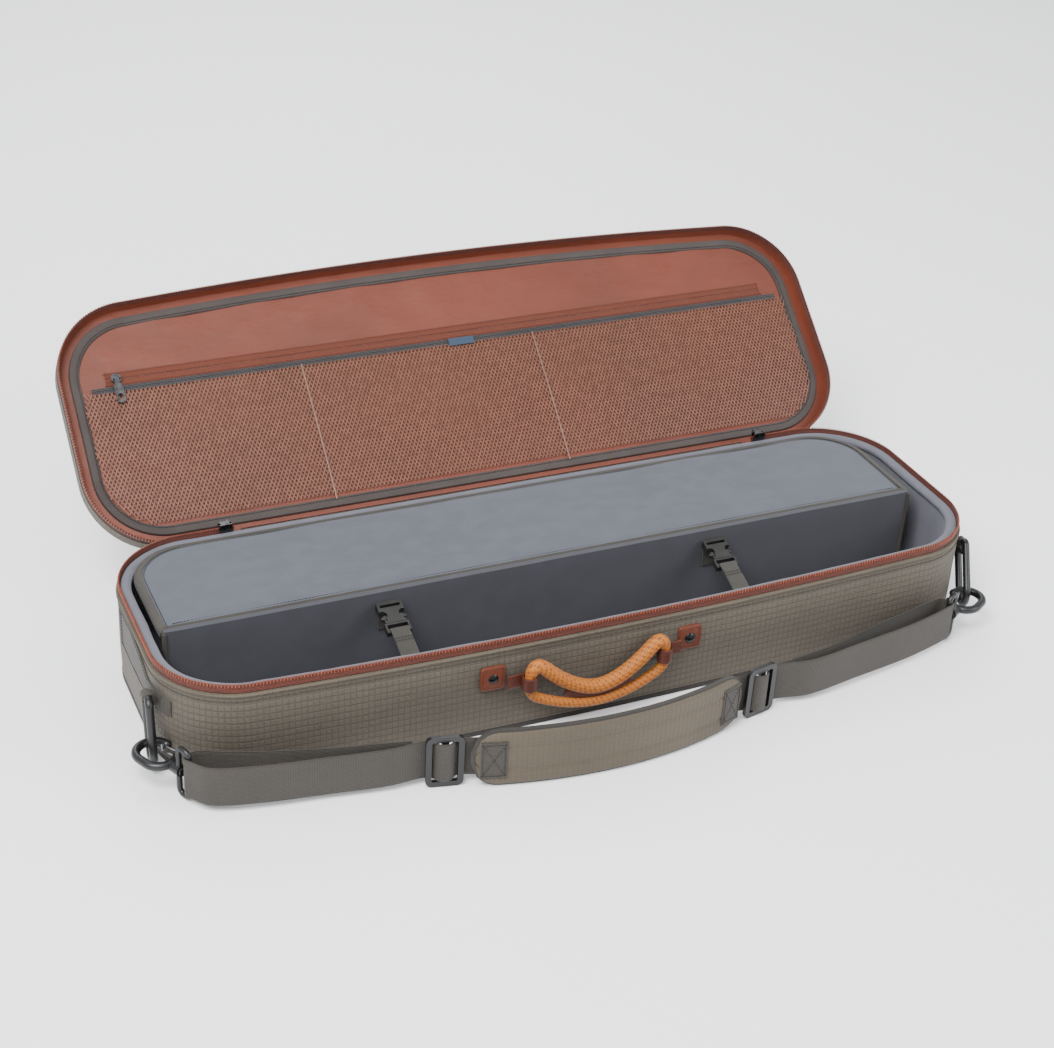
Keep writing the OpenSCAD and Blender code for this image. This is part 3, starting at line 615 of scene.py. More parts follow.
def smooth_path(points, step, closed=False):
    """A Catmull-Rom curve through the points, cut into even steps."""
    pts = [Vector(p) for p in points]
    n = len(pts)
    dense = []
    for i in range(n if closed else n - 1):
        if closed:
            a, b, c, d = pts[i - 1], pts[i], pts[(i + 1) % n], pts[(i + 2) % n]
        else:
            b, c = pts[i], pts[i + 1]
            a = pts[i - 1] if i else b * 2 - c
            d = pts[i + 2] if i + 2 < n else c * 2 - b
        for k in range(16):
            t = k / 16
            ta = (c - b).length
            m1 = (c - a) * (ta / max((c - b).length + (b - a).length, 1e-9))
            m2 = (d - b) * (ta / max((c - b).length + (d - c).length, 1e-9))
            h = (2 * t ** 3 - 3 * t * t + 1, t ** 3 - 2 * t * t + t, -2 * t ** 3 + 3 * t * t, t ** 3 - t * t)
            dense.append(b * h[0] + m1 * h[1] + c * h[2] + m2 * h[3])
    if not closed:
        dense.append(pts[-1].copy())
    return resample(dense, step, closed)


def resample(points, step, closed=False):
    run = lengths(points, closed)
    chain = points + (points[:1] if closed else [])
    count = max(2, round(run[-1] / step))
    out = []
    at = 0
    for i in range(count if closed else count + 1):
        want = run[-1] * i / count
        while at < len(run) - 2 and run[at + 1] < want:
            at += 1
        part = (want - run[at]) / max(run[at + 1] - run[at], 1e-12)
        out.append(chain[at].lerp(chain[at + 1], min(max(part, 0), 1)))
    return out


def tangents(path, closed=False):
    n = len(path)
    out = []
    for i in range(n):
        a = path[i - 1] if i or closed else path[0]
        b = path[(i + 1) % n] if i + 1 < n or closed else path[-1]
        out.append((b - a).normalized())
    return out


def sweep(build, path, side, section, closed=False, slot=0, scale=None):
    """Carries a closed section, as (side, up) pairs, along a path. side is one vector or one per point."""
    along = lengths(path, closed)
    rows = []
    for i, (p, t) in enumerate(zip(path, tangents(path, closed))):
        s = side[i] if isinstance(side, list) else side
        s = (s - t * s.dot(t)).normalized()
        up = s.cross(t).normalized()
        k = scale(i / max(len(path) - 1, 1)) if scale else (1, 1)
        shape = section(i / max(len(path) - 1, 1)) if callable(section) else section
        rows.append([p + s * (a * k[0]) + up * (b * k[1]) for a, b in shape])
    if closed:
        rows.append(rows[0])
    around = lengths([Vector((a, b, 0)) for a, b in (section(0) if callable(section) else section)], True)
    base = len(build.verts)
    n = len(rows[0])
    for row in rows:
        build.verts.extend(row)
    for j in range(len(rows) - 1):
        for i in range(n):
            k = (i + 1) % n
            build.face(
                [base + j * n + i, base + j * n + k, base + (j + 1) * n + k, base + (j + 1) * n + i],
                [(along[j], around[i]), (along[j], around[i + 1]), (along[j + 1], around[i + 1]),
                 (along[j + 1], around[i])],
                slot,
            )
    if not closed:
        build.cap(base, n, True, slot)
        build.cap(base + (len(rows) - 1) * n, n, False, slot)


def flat_section(width, thick, edge=0.35, count=8):
    """A woven strap's section: flat with rounded selvedges. Starts at a selvedge."""
    r = min(thick / 2, width * edge)
    points = []
    for i in range(count + 1):
        points.append((-width / 2 + r + (width - 2 * r) * i / count, -thick / 2))
    points.append((width / 2 - r * 0.2, -thick * 0.28))
    points.append((width / 2, 0))
    points.append((width / 2 - r * 0.2, thick * 0.28))
    for i in range(count + 1):
        points.append((width / 2 - r - (width - 2 * r) * i / count, thick / 2))
    points.append((-width / 2 + r * 0.2, thick * 0.28))
    points.append((-width / 2, 0))
    points.append((-width / 2 + r * 0.2, -thick * 0.28))
    return points


def round_section(radius, sides=12):
    return [
        (radius * math.cos(2 * math.pi * i / sides), radius * math.sin(2 * math.pi * i / sides))
        for i in range(sides)
    ]


# ---------- stitches and teeth, as geometry nodes ----------

def repeat_tree(name, curved, sides):
    """A node tree that lays one small arched filament at every pitch along a path.

    The path is a mesh of edges. Its point attribute "face_out" says which way the cloth faces. With
    curved true the filament lies across the path, as a zip's coil does, otherwise along it, as a
    stitch does.
    """
    tree = bpy.data.node_groups.new(name, "GeometryNodeTree")
    face = tree.interface
    face.new_socket("Geometry", in_out="INPUT", socket_type="NodeSocketGeometry")
    sizes = {"Pitch": 0.003, "Length": 0.0022, "Height": 0.0008, "Radius": 0.00035, "Skew": 0.0}
    for label, value in sizes.items():
        socket = face.new_socket(label, in_out="INPUT", socket_type="NodeSocketFloat")
        socket.default_value = value
    face.new_socket("Finish", in_out="INPUT", socket_type="NodeSocketMaterial")
    face.new_socket("Geometry", in_out="OUTPUT", socket_type="NodeSocketGeometry")
    new = tree.nodes.new
    link = tree.links.new
    group_in = new("NodeGroupInput")
    group_out = new("NodeGroupOutput")

    def math_node(operation, a, b):
        node = new("ShaderNodeMath")
        node.operation = operation
        for i, value in enumerate((a, b)):
            if isinstance(value, bpy.types.NodeSocket):
                link(value, node.inputs[i])
            else:
                node.inputs[i].default_value = value
        return node.outputs[0]

    def vector(x, y, z):
        node = new("ShaderNodeCombineXYZ")
        for i, value in enumerate((x, y, z)):
            if isinstance(value, bpy.types.NodeSocket):
                link(value, node.inputs[i])
            else:
                node.inputs[i].default_value = value
        return node.outputs[0]

    to_curve = new("GeometryNodeMeshToCurve")
    link(group_in.outputs["Geometry"], to_curve.inputs["Mesh"])
    cut = new("GeometryNodeResampleCurve")
    cut.mode = "LENGTH"
    link(to_curve.outputs["Curve"], cut.inputs["Curve"])
    link(group_in.outputs["Pitch"], cut.inputs["Length"])
    half = math_node("MULTIPLY", group_in.outputs["Length"], 0.5)
    minus = math_node("MULTIPLY", group_in.outputs["Length"], -0.5)
    skew = group_in.outputs["Skew"]
    sunk = math_node("MULTIPLY", group_in.outputs["Radius"], -0.6)
    top = math_node("MULTIPLY", group_in.outputs["Height"], 2.0)
    arc = new("GeometryNodeCurveQuadraticBezier")
    arc.inputs["Resolution"].default_value = 5
    if curved:
        ends = vector(0.0, minus, sunk), vector(skew, 0.0, top), vector(0.0, half, sunk)
    else:
        ends = vector(minus, 0.0, sunk), vector(0.0, skew, top), vector(half, 0.0, sunk)
    for label, end in zip(("Start", "Middle", "End"), ends):
        link(end, arc.inputs[label])
    circle = new("GeometryNodeCurvePrimitiveCircle")
    circle.inputs["Resolution"].default_value = sides
    link(group_in.outputs["Radius"], circle.inputs["Radius"])
    filament = new("GeometryNodeCurveToMesh")
    link(arc.outputs[0], filament.inputs["Curve"])
    link(circle.outputs[0], filament.inputs["Profile Curve"])
    filament.inputs["Fill Caps"].default_value = True
    tangent = new("GeometryNodeInputTangent")
    along = new("FunctionNodeAlignRotationToVector")
    along.axis = "X"
    link(tangent.outputs[0], along.inputs["Vector"])
    facing = new("GeometryNodeInputNamedAttribute")
    facing.data_type = "FLOAT_VECTOR"
    facing.inputs["Name"].default_value = "face_out"
    up = new("FunctionNodeAlignRotationToVector")
    up.axis = "Z"
    up.pivot_axis = "X"
    link(along.outputs[0], up.inputs["Rotation"])
    link(facing.outputs[0], up.inputs["Vector"])
    lay = new("GeometryNodeInstanceOnPoints")
    link(cut.outputs[0], lay.inputs["Points"])
    link(filament.outputs[0], lay.inputs["Instance"])
    link(up.outputs[0], lay.inputs["Rotation"])
    real = new("GeometryNodeRealizeInstances")
    link(lay.outputs[0], real.inputs[0])
    paint = new("GeometryNodeSetMaterial")
    link(real.outputs[0], paint.inputs["Geometry"])
    link(group_in.outputs["Finish"], paint.inputs["Material"])
    link(paint.outputs[0], group_out.inputs[0])
    return tree


TREES = {}


def filaments(name, runs, body, material, curved, replaces=(), slot=None, sides=5, **sizes):
    """Lays stitches or coil loops along runs of (points, facing vectors), and keeps the plain mesh."""
    key = "Coil loops" if curved else "Stitch run"
    if key not in TREES:
        TREES[key] = repeat_tree(key, curved, sides)
    tree = TREES[key]
    verts, edges, facing = [], [], []
    for points, out in runs:
        base = len(verts)
        verts.extend(tuple(p) for p in points)
        edges.extend((base + i, base + i + 1) for i in range(len(points) - 1))
        facing.extend(out if isinstance(out, list) else [out] * len(points))
    mesh = bpy.data.meshes.new(name)
    mesh.from_pydata(verts, edges, [])
    face_out = mesh.attributes.new("face_out", "FLOAT_VECTOR", "POINT")
    face_out.data.foreach_set("vector", [c for v in facing for c in v])
    obj = bpy.data.objects.new(name, mesh)
    bpy.context.scene.collection.objects.link(obj)
    modifier = obj.modifiers.new(key, "NODES")
    modifier.node_group = tree
    for item in tree.interface.items_tree:
        if item.item_type == "SOCKET" and item.in_out == "INPUT" and item.name.lower() in sizes:
            modifier[item.identifier] = float(sizes[item.name.lower()])
        if item.item_type == "SOCKET" and item.in_out == "INPUT" and item.name == "Finish":
            modifier[item.identifier] = finish(material)
    graph = bpy.context.evaluated_depsgraph_get()
    plain = bpy.data.meshes.new_from_object(obj.evaluated_get(graph))
    obj.modifiers.remove(modifier)
    obj.data = plain
    if not plain.materials:
        plain.materials.append(finish(material))
    plain.polygons.foreach_set("use_smooth", [True] * len(plain.polygons))
    return place(obj, body, replaces)


def stitches(name, runs, body, material, pitch=0.0031, slot=None):
    return filaments(name, runs, body, material, False, slot=slot, pitch=pitch, length=pitch * 0.76,
                     height=0.00028, radius=0.00034)


# ---------- settings ----------

class RodCaseSettings(bpy.types.PropertyGroup):
    """Sizes and colours of the case's soft pieces."""

    shell_color: bpy.props.FloatVectorProperty(
        name="Shell", description="Ripstop of the tray and lid", subtype="COLOR", size=4, min=0, max=1,
        default=rgb(104, 94, 80))
    lining_color: bpy.props.FloatVectorProperty(
        name="Lid lining", description="Thin nylon behind the net", subtype="COLOR", size=4, min=0, max=1,
        default=rgb(132, 60, 36))
    tooth_pitch: bpy.props.FloatProperty(
        name="Zip pitch", description="Distance between the loops of the main zip", unit="LENGTH",
        subtype="DISTANCE",
        default=0.0028, min=0.0015, max=0.005)
    stitch_pitch: bpy.props.FloatProperty(
        name="Stitch pitch", description="Length of one stitch", unit="LENGTH", subtype="DISTANCE",
        default=0.0031, min=0.002, max=0.006)
    net_pitch: bpy.props.FloatProperty(
        name="Net pitch", description="Distance between the threads of the pocket net", unit="LENGTH",
        subtype="DISTANCE", default=0.0034, min=0.002, max=0.008)


class MakePiece:
    """What the operators share."""

    bl_options = {"REGISTER", "UNDO"}

    def execute(self, context):
        self.make(context.scene.rod_case)
        return {"FINISHED"}


# ---------- tray ----------

def slack(amount, scale, seed=0.0):
    """A ripple that pushes cloth in and out by about this much, more in the middle of a wall."""
    def move(p):
        part = min(max((p.z - 0.004) / (TRAY_H - 0.008), 0), 1)
        swell = math.sin(math.pi * part)
        n = noise.noise(Vector((p.x * scale + seed, p.y * scale, p.z * scale * 1.4)))
        out = Vector((p.x / HALF_L ** 2, p.y / HALF_D ** 2, 0)).normalized()
        if abs(p.x) < CORNER_X:
            out = Vector((0, math.copysign(1, p.y), 0))
        return p + out * (swell * 0.0006 + n * amount * swell)
    return move


class RODCASE_OT_tray(MakePiece, bpy.types.Operator):
    """Outer shell of the tray, its base, edge binding and piping"""

    bl_idname = "rodcase.tray"
    bl_label = "Tray shell"

    def make(self, s):
        b = Build()
        soft = slack(0.0009, 22.0)
        profile = [(0, 0.0, k) for k in (0.03, 0.3, 0.6, 0.85, 0.96)]
        profile += [(0.0024, 0.0), (0.0008, 0.0007), (0.0001, 0.0024)]
        profile += [(0.0, z * MM) for z in (5, 9, 14, 20, 27, 34, 41, 48, 55, 62, 68, 73, 77)]
        profile += [(0.0006, 0.0779), (0.0001, 0.0788), (0.0, 0.0815), (0.0, 0.0845), (0.0003, 0.0858)]
        profile += [(0.001, 0.0862)]
        profile += [(0.006, 0.0860), (0.0095, 0.0835)]
        profile += [(0.0095, z * MM) for z in (60, 30, 8, 4)]
        profile += [(0.01, 0.0035, k) for k in (0.96, 0.85, 0.6, 0.3, 0.03)]
        loft(b, profile, ripple=soft, close_low=True, close_high=True)
        hidden = ("tray_shell", "base_panel", "base_board", "tray_foam")
        b.object("tray_skin", ["shell_ripstop"], "tray", hidden)
        path = [Vector((p.x, p.y, 0.0024)) for p in plan(0.0002)]
        b = Build()
        sweep(b, path, Vector((0, 0, 1)), flat_section(0.0048, 0.0016), closed=True)
        # Binding round the base, coloured near-black as a painted contact shadow.
        b.object("base_edge_tape", ["base_tape_painted_shadow"], "tray", ("base_binding",))
        path = [Vector((p.x, p.y, 0.0848)) for p in plan(-0.0002)]
        b = Build()
        sweep(b, path, Vector((0, 0, 1)), round_section(0.0013, 10), closed=True)
        b.object("piping_cord", ["piping_cord"], "tray", ("tray_piping",))
        row = [soft(Vector((p.x, p.y, 0.0783))) for p in plan(-0.0002)]
        row.append(row[0])
        out = [Vector((q.y - p.y, p.x - q.x, 0)).normalized() for p, q in zip(row, row[1:] + row[1:2])]
        stitches("shell_top_stitches", [(row, [-v if v.dot(p) < 0 else v for v, p in zip(out, row)])], "tray",
                 "thread_taupe", s.stitch_pitch)


def along_front(points, normal_out=1):
    """Facing vectors, level and square to a run seen from above."""
    out = []
    for t in tangents(points):
        out.append(Vector((t.y, -t.x, 0)).normalized() * normal_out)
    return out


class RODCASE_OT_tray_zip(MakePiece, bpy.types.Operator):
    """Half of the main zip that is sewn to the tray, and the hinge tape"""

    bl_idname = "rodcase.tray_zip"
    bl_label = "Tray zip"

    def make(self, s):
        around = plan(0)
        keep = [i for i, p in enumerate(around) if not (p.y > 0 and abs(p.x) < 0.264)]
        inset_path = plan(0.0016)
        path = [inset_path[i] for i in keep]
        tape = [Vector((p.x, p.y, 0.0902)) for p in path]
        b = Build()
        wavy = [p + Vector((0, 0, 0.0002 * math.sin(i * 0.9))) for i, p in enumerate(tape)]
        sweep(b, wavy, Vector((0, 0, 1)), flat_section(0.0078, 0.0011, 0.2))
        b.object("tray_tape", ["zip_rust"], "tray", ("tray_zip_tape",))
        coil = [Vector((p.x, p.y, 0.0938)) for p in path]
        b = Build()
        sweep(b, coil, Vector((0, 0, 1)), round_section(0.0007, 8))
        b.object("tray_coil_core", ["zip_rust"], "tray", ())
        teeth = [Vector((p.x, p.y, 0.0932)) for p in path]
        filaments("tray_coil_loops", [(teeth, along_front(teeth))], "tray", "coil_rust", True,
                  ("tray_zip_coil",), "coil_rust", pitch=s.tooth_pitch, length=0.0048, height=0.0011,
                  radius=0.0006, skew=0.0004)
        low = [Vector((p.x, p.y, 0.0878)) for p in [plan(0.0009)[i] for i in keep]]
        stitches("tray_tape_stitches", [(low, along_front(low))], "tray", "thread_rust", s.stitch_pitch)
        b = Build()
        lo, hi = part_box("hinge_tape")
        back = [Vector((x * 0.01, hi.y - 0.0008, (lo.z + hi.z) / 2)) for x in range(-26, 27)]
        sweep(b, back, Vector((0, 0, 1)), flat_section(hi.z - lo.z, 0.0014, 0.3))
        b.object("hinge_web", ["band_webbing"], "tray", ("hinge_tape",))


class RODCASE_OT_tray_inside(MakePiece, bpy.types.Operator):
    """Padded rim lip, inner walls and floor of the tray"""

    bl_idname = "rodcase.tray_inside"
    bl_label = "Tray lining"

    def make(self, s):
        def soft(p):
            n = noise.noise(Vector((p.x * 30, p.y * 30, p.z * 40 + 7)))
            fine = noise.noise(Vector((p.x * 90, p.y * 90, p.z * 60)))
            pull = Vector((p.x / HALF_L ** 2, p.y / HALF_D ** 2, 0)).normalized()
            amount = (n * 0.0006 + fine * 0.00025) * min(1, max(0, (p.z - FLOOR_Z) / 0.02))
            return p - pull * amount
        b = Build()
        profile = [(0.0028, 0.0862), (0.0026, 0.0885), (0.0030, 0.0899), (0.0042, 0.0906), (0.0060, 0.0909),
                   (0.0082, 0.0908), (0.0102, 0.0902), (0.0117, 0.0889), (0.0121, 0.0872), (0.0114, 0.0855),
                   (0.0102, 0.0844), (0.0097, 0.0836), (0.0100, 0.0815)]
        profile += [(0.0104, z * MM) for z in (74, 64, 54, 44, 34, 24, 16)]
        profile += [(0.0112, 0.0122), (0.0135, 0.0106)]
        profile += [(0.0135, 0.0103, k) for k in (0.985, 0.93, 0.8, 0.6, 0.35, 0)]
        profile += [(0.0135, 0.0088, k) for k in (0, 0.35, 0.6, 0.8, 0.93, 0.985)]
        profile += [(0.0098, 0.0088)]
        profile += [(0.0096, z * MM) for z in (20, 50, 80)]
        profile += [(0.0060, 0.0858), (0.0028, 0.0862)]
        loft(b, profile, ripple=soft)
        rim = b.object("tray_liner", ["grey_tricot"], "tray", ("rim_lip", "tray_lining"))
        row = [Vector((p.x, p.y, 0.0837)) for p in plan(0.0096)]
        row.append(row[0])
        inward = [Vector((-p.x / HALF_L ** 2, -p.y / HALF_D ** 2, 0)).normalized() for p in row]
        stitches("lip_stitches", [(row, inward)], "tray", "thread_grey", s.stitch_pitch)


class RODCASE_OT_end_bands(MakePiece, bpy.types.Operator):
    """Webbing bands sewn down both ends, folded round the D rings"""

    bl_idname = "rodcase.end_bands"
    bl_label = "End bands"

    def make(self, s):
        for side, name, ring_name in ((-1, "end_band_left", "ring_left"), (1, "end_band_right", "ring_right")):
            pin = Vector(JOINTS[ring_name + "_swing"]["pos_m"])
            face = HALF_L + 0.0007
            b = Build()
            rows = []
            count = 26
            for i in range(count + 1):
                t = i / count
                y = CORNER_Y - 0.003 - (CORNER_Y - 0.003 + CORNER_Y + 0.004) * t
                taper = min(max((t - 0.45) / 0.55, 0), 1) ** 1.3
                low = 0.044 + 0.003 * taper
                high = 0.0836 - 0.0146 * taper
                swell = 0.0003 * noise.noise(Vector((y * 60, side, 3)))
                rows.append((y, low, high, swell))
            tail = []
            for i in range(1, 9):
                a = math.radians(30 * i / 8)
                reach = CORNER_R + 0.0007
                tail.append((reach * math.cos(a) + CORNER_X, -CORNER_Y - reach * math.sin(a),
                             0.047 + 0.005 * i / 8, 0.069 - 0.002 * i / 8))
            outer, inner = [], []
            for y, low, high, swell in rows:
                heights = [low + (high - low) * k / 10 for k in range(11)]
                outer.append([Vector((side * (face + 0.001 + swell), y, z)) for z in heights])
                inner.append([Vector((side * (face - 0.0009), y, z)) for z in heights])
            for x, y, low, high in tail:
                n = Vector((x - CORNER_X, y + CORNER_Y, 0)).normalized()
                p = Vector((x, y, 0))
                for grid, off in ((outer, 0.001), (inner, -0.0009)):
                    q = p + n * off
                    grid.append([Vector((side * q.x, q.y, low + (high - low) * k / 10)) for k in range(11)])
            n = len(outer)
            loop = [outer[j] + inner[j][::-1] for j in range(n)]
            us = [j * 0.0035 for j in range(n)]
            width = [0.0036 * k for k in range(23)]
            base = len(b.verts)
            m = len(loop[0])
            for r in loop:
                b.verts.extend(r)
            for j in range(n - 1):
                for i in range(m):
                    k = (i + 1) % m
                    b.face([base + j * m + i, base + j * m + k, base + (j + 1) * m + k, base + (j + 1) * m + i],
                           [(us[j], width[i]), (us[j], width[i + 1]), (us[j + 1], width[i + 1]),
                            (us[j + 1], width[i])])
            b.cap(base, m, True)
            b.cap(base + (n - 1) * m, m)
            sleeve = []
            for i in range(17):
                a = math.radians(-95 + 330 * i / 16)
                fold = Vector((side * math.cos(a), 0, math.sin(a))) * 0.0046
                sleeve.append(pin + fold)
            tip = sleeve[0]
            inward = [Vector((side * (HALF_L + 0.0012), pin.y, tip.z - 0.006)),
                      Vector((side * (HALF_L + 0.0016), pin.y, tip.z - 0.002))]
            across = Vector((0, 1, 0))
            sweep(b, inward + sleeve, across, flat_section(0.0098, 0.0012))
            b.object(name + "_web", ["band_webbing"], "tray", (name,))
            runs = []
            for edge, inset in ((1, 0.003), (2, -0.003)):
                run = [Vector((side * (face + 0.0011), r[0], r[edge] + inset)) for r in rows[1:-1]]
                runs.append((run, Vector((side, 0, 0))))
            for y in (CORNER_Y - 0.007, CORNER_Y - 0.011):
                run = [Vector((side * (face + 0.0011), y, 0.047 + 0.0035 * k)) for k in range(10)]
                runs.append((run, Vector((side, 0, 0))))
            stitches(name + "_stitches", runs, "tray", "thread_dark", s.stitch_pitch)


# ---------- divider, flap and tie-downs ----------

class RODCASE_OT_divider(MakePiece, bpy.types.Operator):
    """Padded wall that stands along the tray and carries the flap"""

    bl_idname = "rodcase.divider"
    bl_label = "Divider"

    def make(self, s):
        lo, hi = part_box("divider_wall")
        mid = (lo + hi) / 2
        b = Build()
        depth = (hi.y - lo.y) / 2
        nx, nz = 120, 12

        def point(i, k, front):
            u, v = i / nx, k / nz
            x = lo.x + (hi.x - lo.x) * u
            z = lo.z + (hi.z - lo.z) * v
            edge = min(1, 12 * min(u, 1 - u) * 2, 4 * min(v, 1 - v) * 2 + 0.35)
            swell = depth * (0.55 + 0.45 * math.sqrt(max(edge, 0)))
            n = noise.noise(Vector((x * 16, z * 26, front))) * 0.0006
            return Vector((x, mid.y + front * (swell + n), z))

        section = []
        for i in range(nx + 1):
            ring_points = [point(i, k, -1) for k in range(nz + 1)] + [point(i, k, 1) for k in range(nz, -1, -1)]
            section.append(ring_points)
        around = [0.007 * k for k in range(len(section[0]) + 1)]
        m = len(section[0])
        for r in section:
            b.verts.extend(r)
        for j in range(nx):
            for i in range(m):
                k = (i + 1) % m
                b.face([j * m + i, j * m + k, (j + 1) * m + k, (j + 1) * m + i],
                       [(j * 0.006, around[i]), (j * 0.006, around[i + 1]), ((j + 1) * 0.006, around[i + 1]),
                        ((j + 1) * 0.006, around[i])])
        b.cap(0, m, True)
        b.cap(nx * m, m)
        # The divider wears the darker copy of the flap's blue cloth, a painted shade.
        wall = b.object("divider_panel", ["panel_blue_painted_shade"], "tray", ("divider_wall",))
        b = Build()
        for x in (lo.x, hi.x):
            path = [Vector((x, mid.y, lo.z + (hi.z - lo.z - 0.002) * i / 24)) for i in range(25)]
            sweep(b, path, Vector((1, 0, 0)), flat_section(0.004, 2 * depth + 0.0008, 0.3))
        b.object("divider_tape", ["olive_binding"], "tray", ("divider_binding",))


def flap_outline(inset):
    """Edge of the flap seen from above, counter-clockwise from its front left corner."""
    lo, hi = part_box("flap_binding")
    radius = 0.052 - inset
    x0, x1 = lo.x + inset, hi.x - inset
    y0, y1 = lo.y + 0.0002, hi.y - inset
    points = []
    count = 120
    for i in range(count + 1):
        points.append(Vector((x0 + (x1 - x0) * i / count, y0, 0)))
    for i in range(1, 14):
        points.append(Vector((x1, y0 + (y1 - radius - y0) * i / 14, 0)))
    for i in range(17):
        a = math.radians(90 * i / 16)
        points.append(Vector((x1 - radius + radius * math.cos(a), y1 - radius + radius * math.sin(a), 0)))
    for i in range(1, count):
        points.append(Vector((x1 - radius + (x0 - x1 + 2 * radius) * i / count, y1, 0)))
    for i in range(17):
        a = math.radians(90 + 90 * i / 16)
        points.append(Vector((x0 + radius + radius * math.cos(a), y1 - radius + radius * math.sin(a), 0)))
    for i in range(1, 14):
        points.append(Vector((x0, y1 - radius + (y0 - y1 + radius) * i / 14, 0)))
    return points


class RODCASE_OT_flap(MakePiece, bpy.types.Operator):
    """Padded flap over the back bay, with its binding and sewn fold"""

    bl_idname = "rodcase.flap"
    bl_label = "Flap"

    def make(self, s):
        lo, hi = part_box("flap_top")
        mid_z = (lo.z + hi.z) / 2
        depth = (hi.z - lo.z) / 2
        centre = Vector(((lo.x + hi.x) / 2, (lo.y + hi.y) / 2, 0))
        edge = flap_outline(0.0035)
        b = Build()
        steps = [1.0, 0.996, 0.985, 0.965, 0.93, 0.87, 0.78, 0.66, 0.5, 0.32, 0.14]

        def row(k, top):
            """One ring at a share of the way out from the middle, crowned towards the middle."""
            ring_points = []
            for p in edge:
                away = 1 - k
                q = centre + Vector(((p.x - centre.x) * k, (p.y - centre.y) * k, 0))
                crown = min(1.0, math.sqrt(away * 7)) if away < 0.14 else 1.0
                n = noise.noise(Vector((q.x * 14, q.y * 20, 5 if top > 0 else 9))) * 0.0007 * min(1, away * 12)
                fold = 0.0010 * math.exp(-((q.y - lo.y - 0.0062) / 0.0014) ** 2) if top > 0 else 0
                ring_points.append(Vector((q.x, q.y, mid_z + top * (depth * (0.62 + 0.38 * crown) + n) - fold)))
            return ring_points

        rows = [row(k, -1) for k in reversed(steps)] + [row(k, 1) for k in steps]
        around = lengths(edge, True)
        up = [0.0]
        for a, c in zip(rows, rows[1:]):
            up.append(up[-1] + (c[0] - a[0]).length)
        base, n, count = b.grid(rows, around, up, True)
        b.cap(base, n, True)
        b.cap(base + (count - 1) * n, n)
        panel = b.object("flap_panel", ["panel_blue"], "flap", ("flap_top",))
        path = resample([Vector((p.x, p.y, mid_z)) for p in flap_outline(0.0036)], 0.004, True)
        b = Build()
        tape = [(-0.0032, depth + 0.0001), (0.0012, depth - 0.0002), (0.0032, depth * 0.62), (0.0039, 0),
                (0.0032, -depth * 0.62), (0.0012, 0.0002 - depth), (-0.0032, -depth - 0.0001),
                (-0.0034, -depth * 0.6), (-0.0034, depth * 0.6)]
        tape = [(across, up * 0.9) for across, up in tape]
        side = [Vector((t.y, -t.x, 0)) for t in tangents(path, True)]
        sweep(b, path, side, tape, closed=True)
        b.object("flap_tape", ["olive_binding"], "flap", ("flap_binding",))
        ring_path = flap_outline(0.0085)
        back = ring_path[121:]
        run = [Vector((p.x, p.y, hi.z - 0.0006)) for p in back]
        width = hi.x - lo.x - 0.024
        fold = [Vector((lo.x + 0.012 + width * i / 100, lo.y + 0.0062, hi.z - 0.0007)) for i in range(101)]
        stitches("flap_stitches", [(run, Vector((0, 0, 1))), (fold, Vector((0, 0, 1)))], "flap", "thread_dark",
                 s.stitch_pitch)


class RODCASE_OT_ties(MakePiece, bpy.types.Operator):
    """Webbing that anchors the two tie-down buckles"""

    bl_idname = "rodcase.ties"
    bl_label = "Tie-downs"

    def make(self, s):
        slope = math.radians(20)
        for side in ("left", "right"):
            lo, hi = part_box("buckle_female_" + side)
            x = (lo.x + hi.x) / 2
            start = Vector((x, -0.034, 0.086))
            down = Vector((0, -math.cos(slope), -math.sin(slope)))
            up = Vector((0, -math.sin(slope), math.cos(slope)))
            front = [start + down * (l * MM) + up * 0.0040 for l in (29, 33, 38, 44, 52)]
            curve = [start + down * 0.058 + up * 0.0038]
            curve += [Vector((x, y, z)) for y, z in ((-0.1010, 0.0668), (-0.1082, 0.0590), (-0.1104, 0.0525))]
            path = smooth_path(front + curve, 0.003)
            b = Build()
            sweep(b, path, Vector((1, 0, 0)), flat_section(0.0168, 0.0014))
            rear = [Vector((x, -0.0321, z * MM)) for z in (60, 66, 72, 78, 82)]
            sweep(b, resample(rear, 0.003), Vector((1, 0, 0)), flat_section(0.0168, 0.0014))
            b.object("tie_web_" + side, ["tie_webbing"], "tray", ("tie_strap_" + side,))
            runs = []
            for l in (40, 43):
                at = start + down * (l * MM) + up * 0.0049
                runs.append(([at + Vector((k * MM, 0, 0)) for k in (-7.5, -3, 2, 7.5)], up))
            stitches("tie_stitches_" + side, runs, "tray", "thread_dark", 0.0026)


# ---------- handle ----------

HANDLE_X = (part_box("handle_rope")[0].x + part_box("handle_rope")[1].x) / 2
ROPE_Y = JOINTS["handle_swing"]["pos_m"][1]


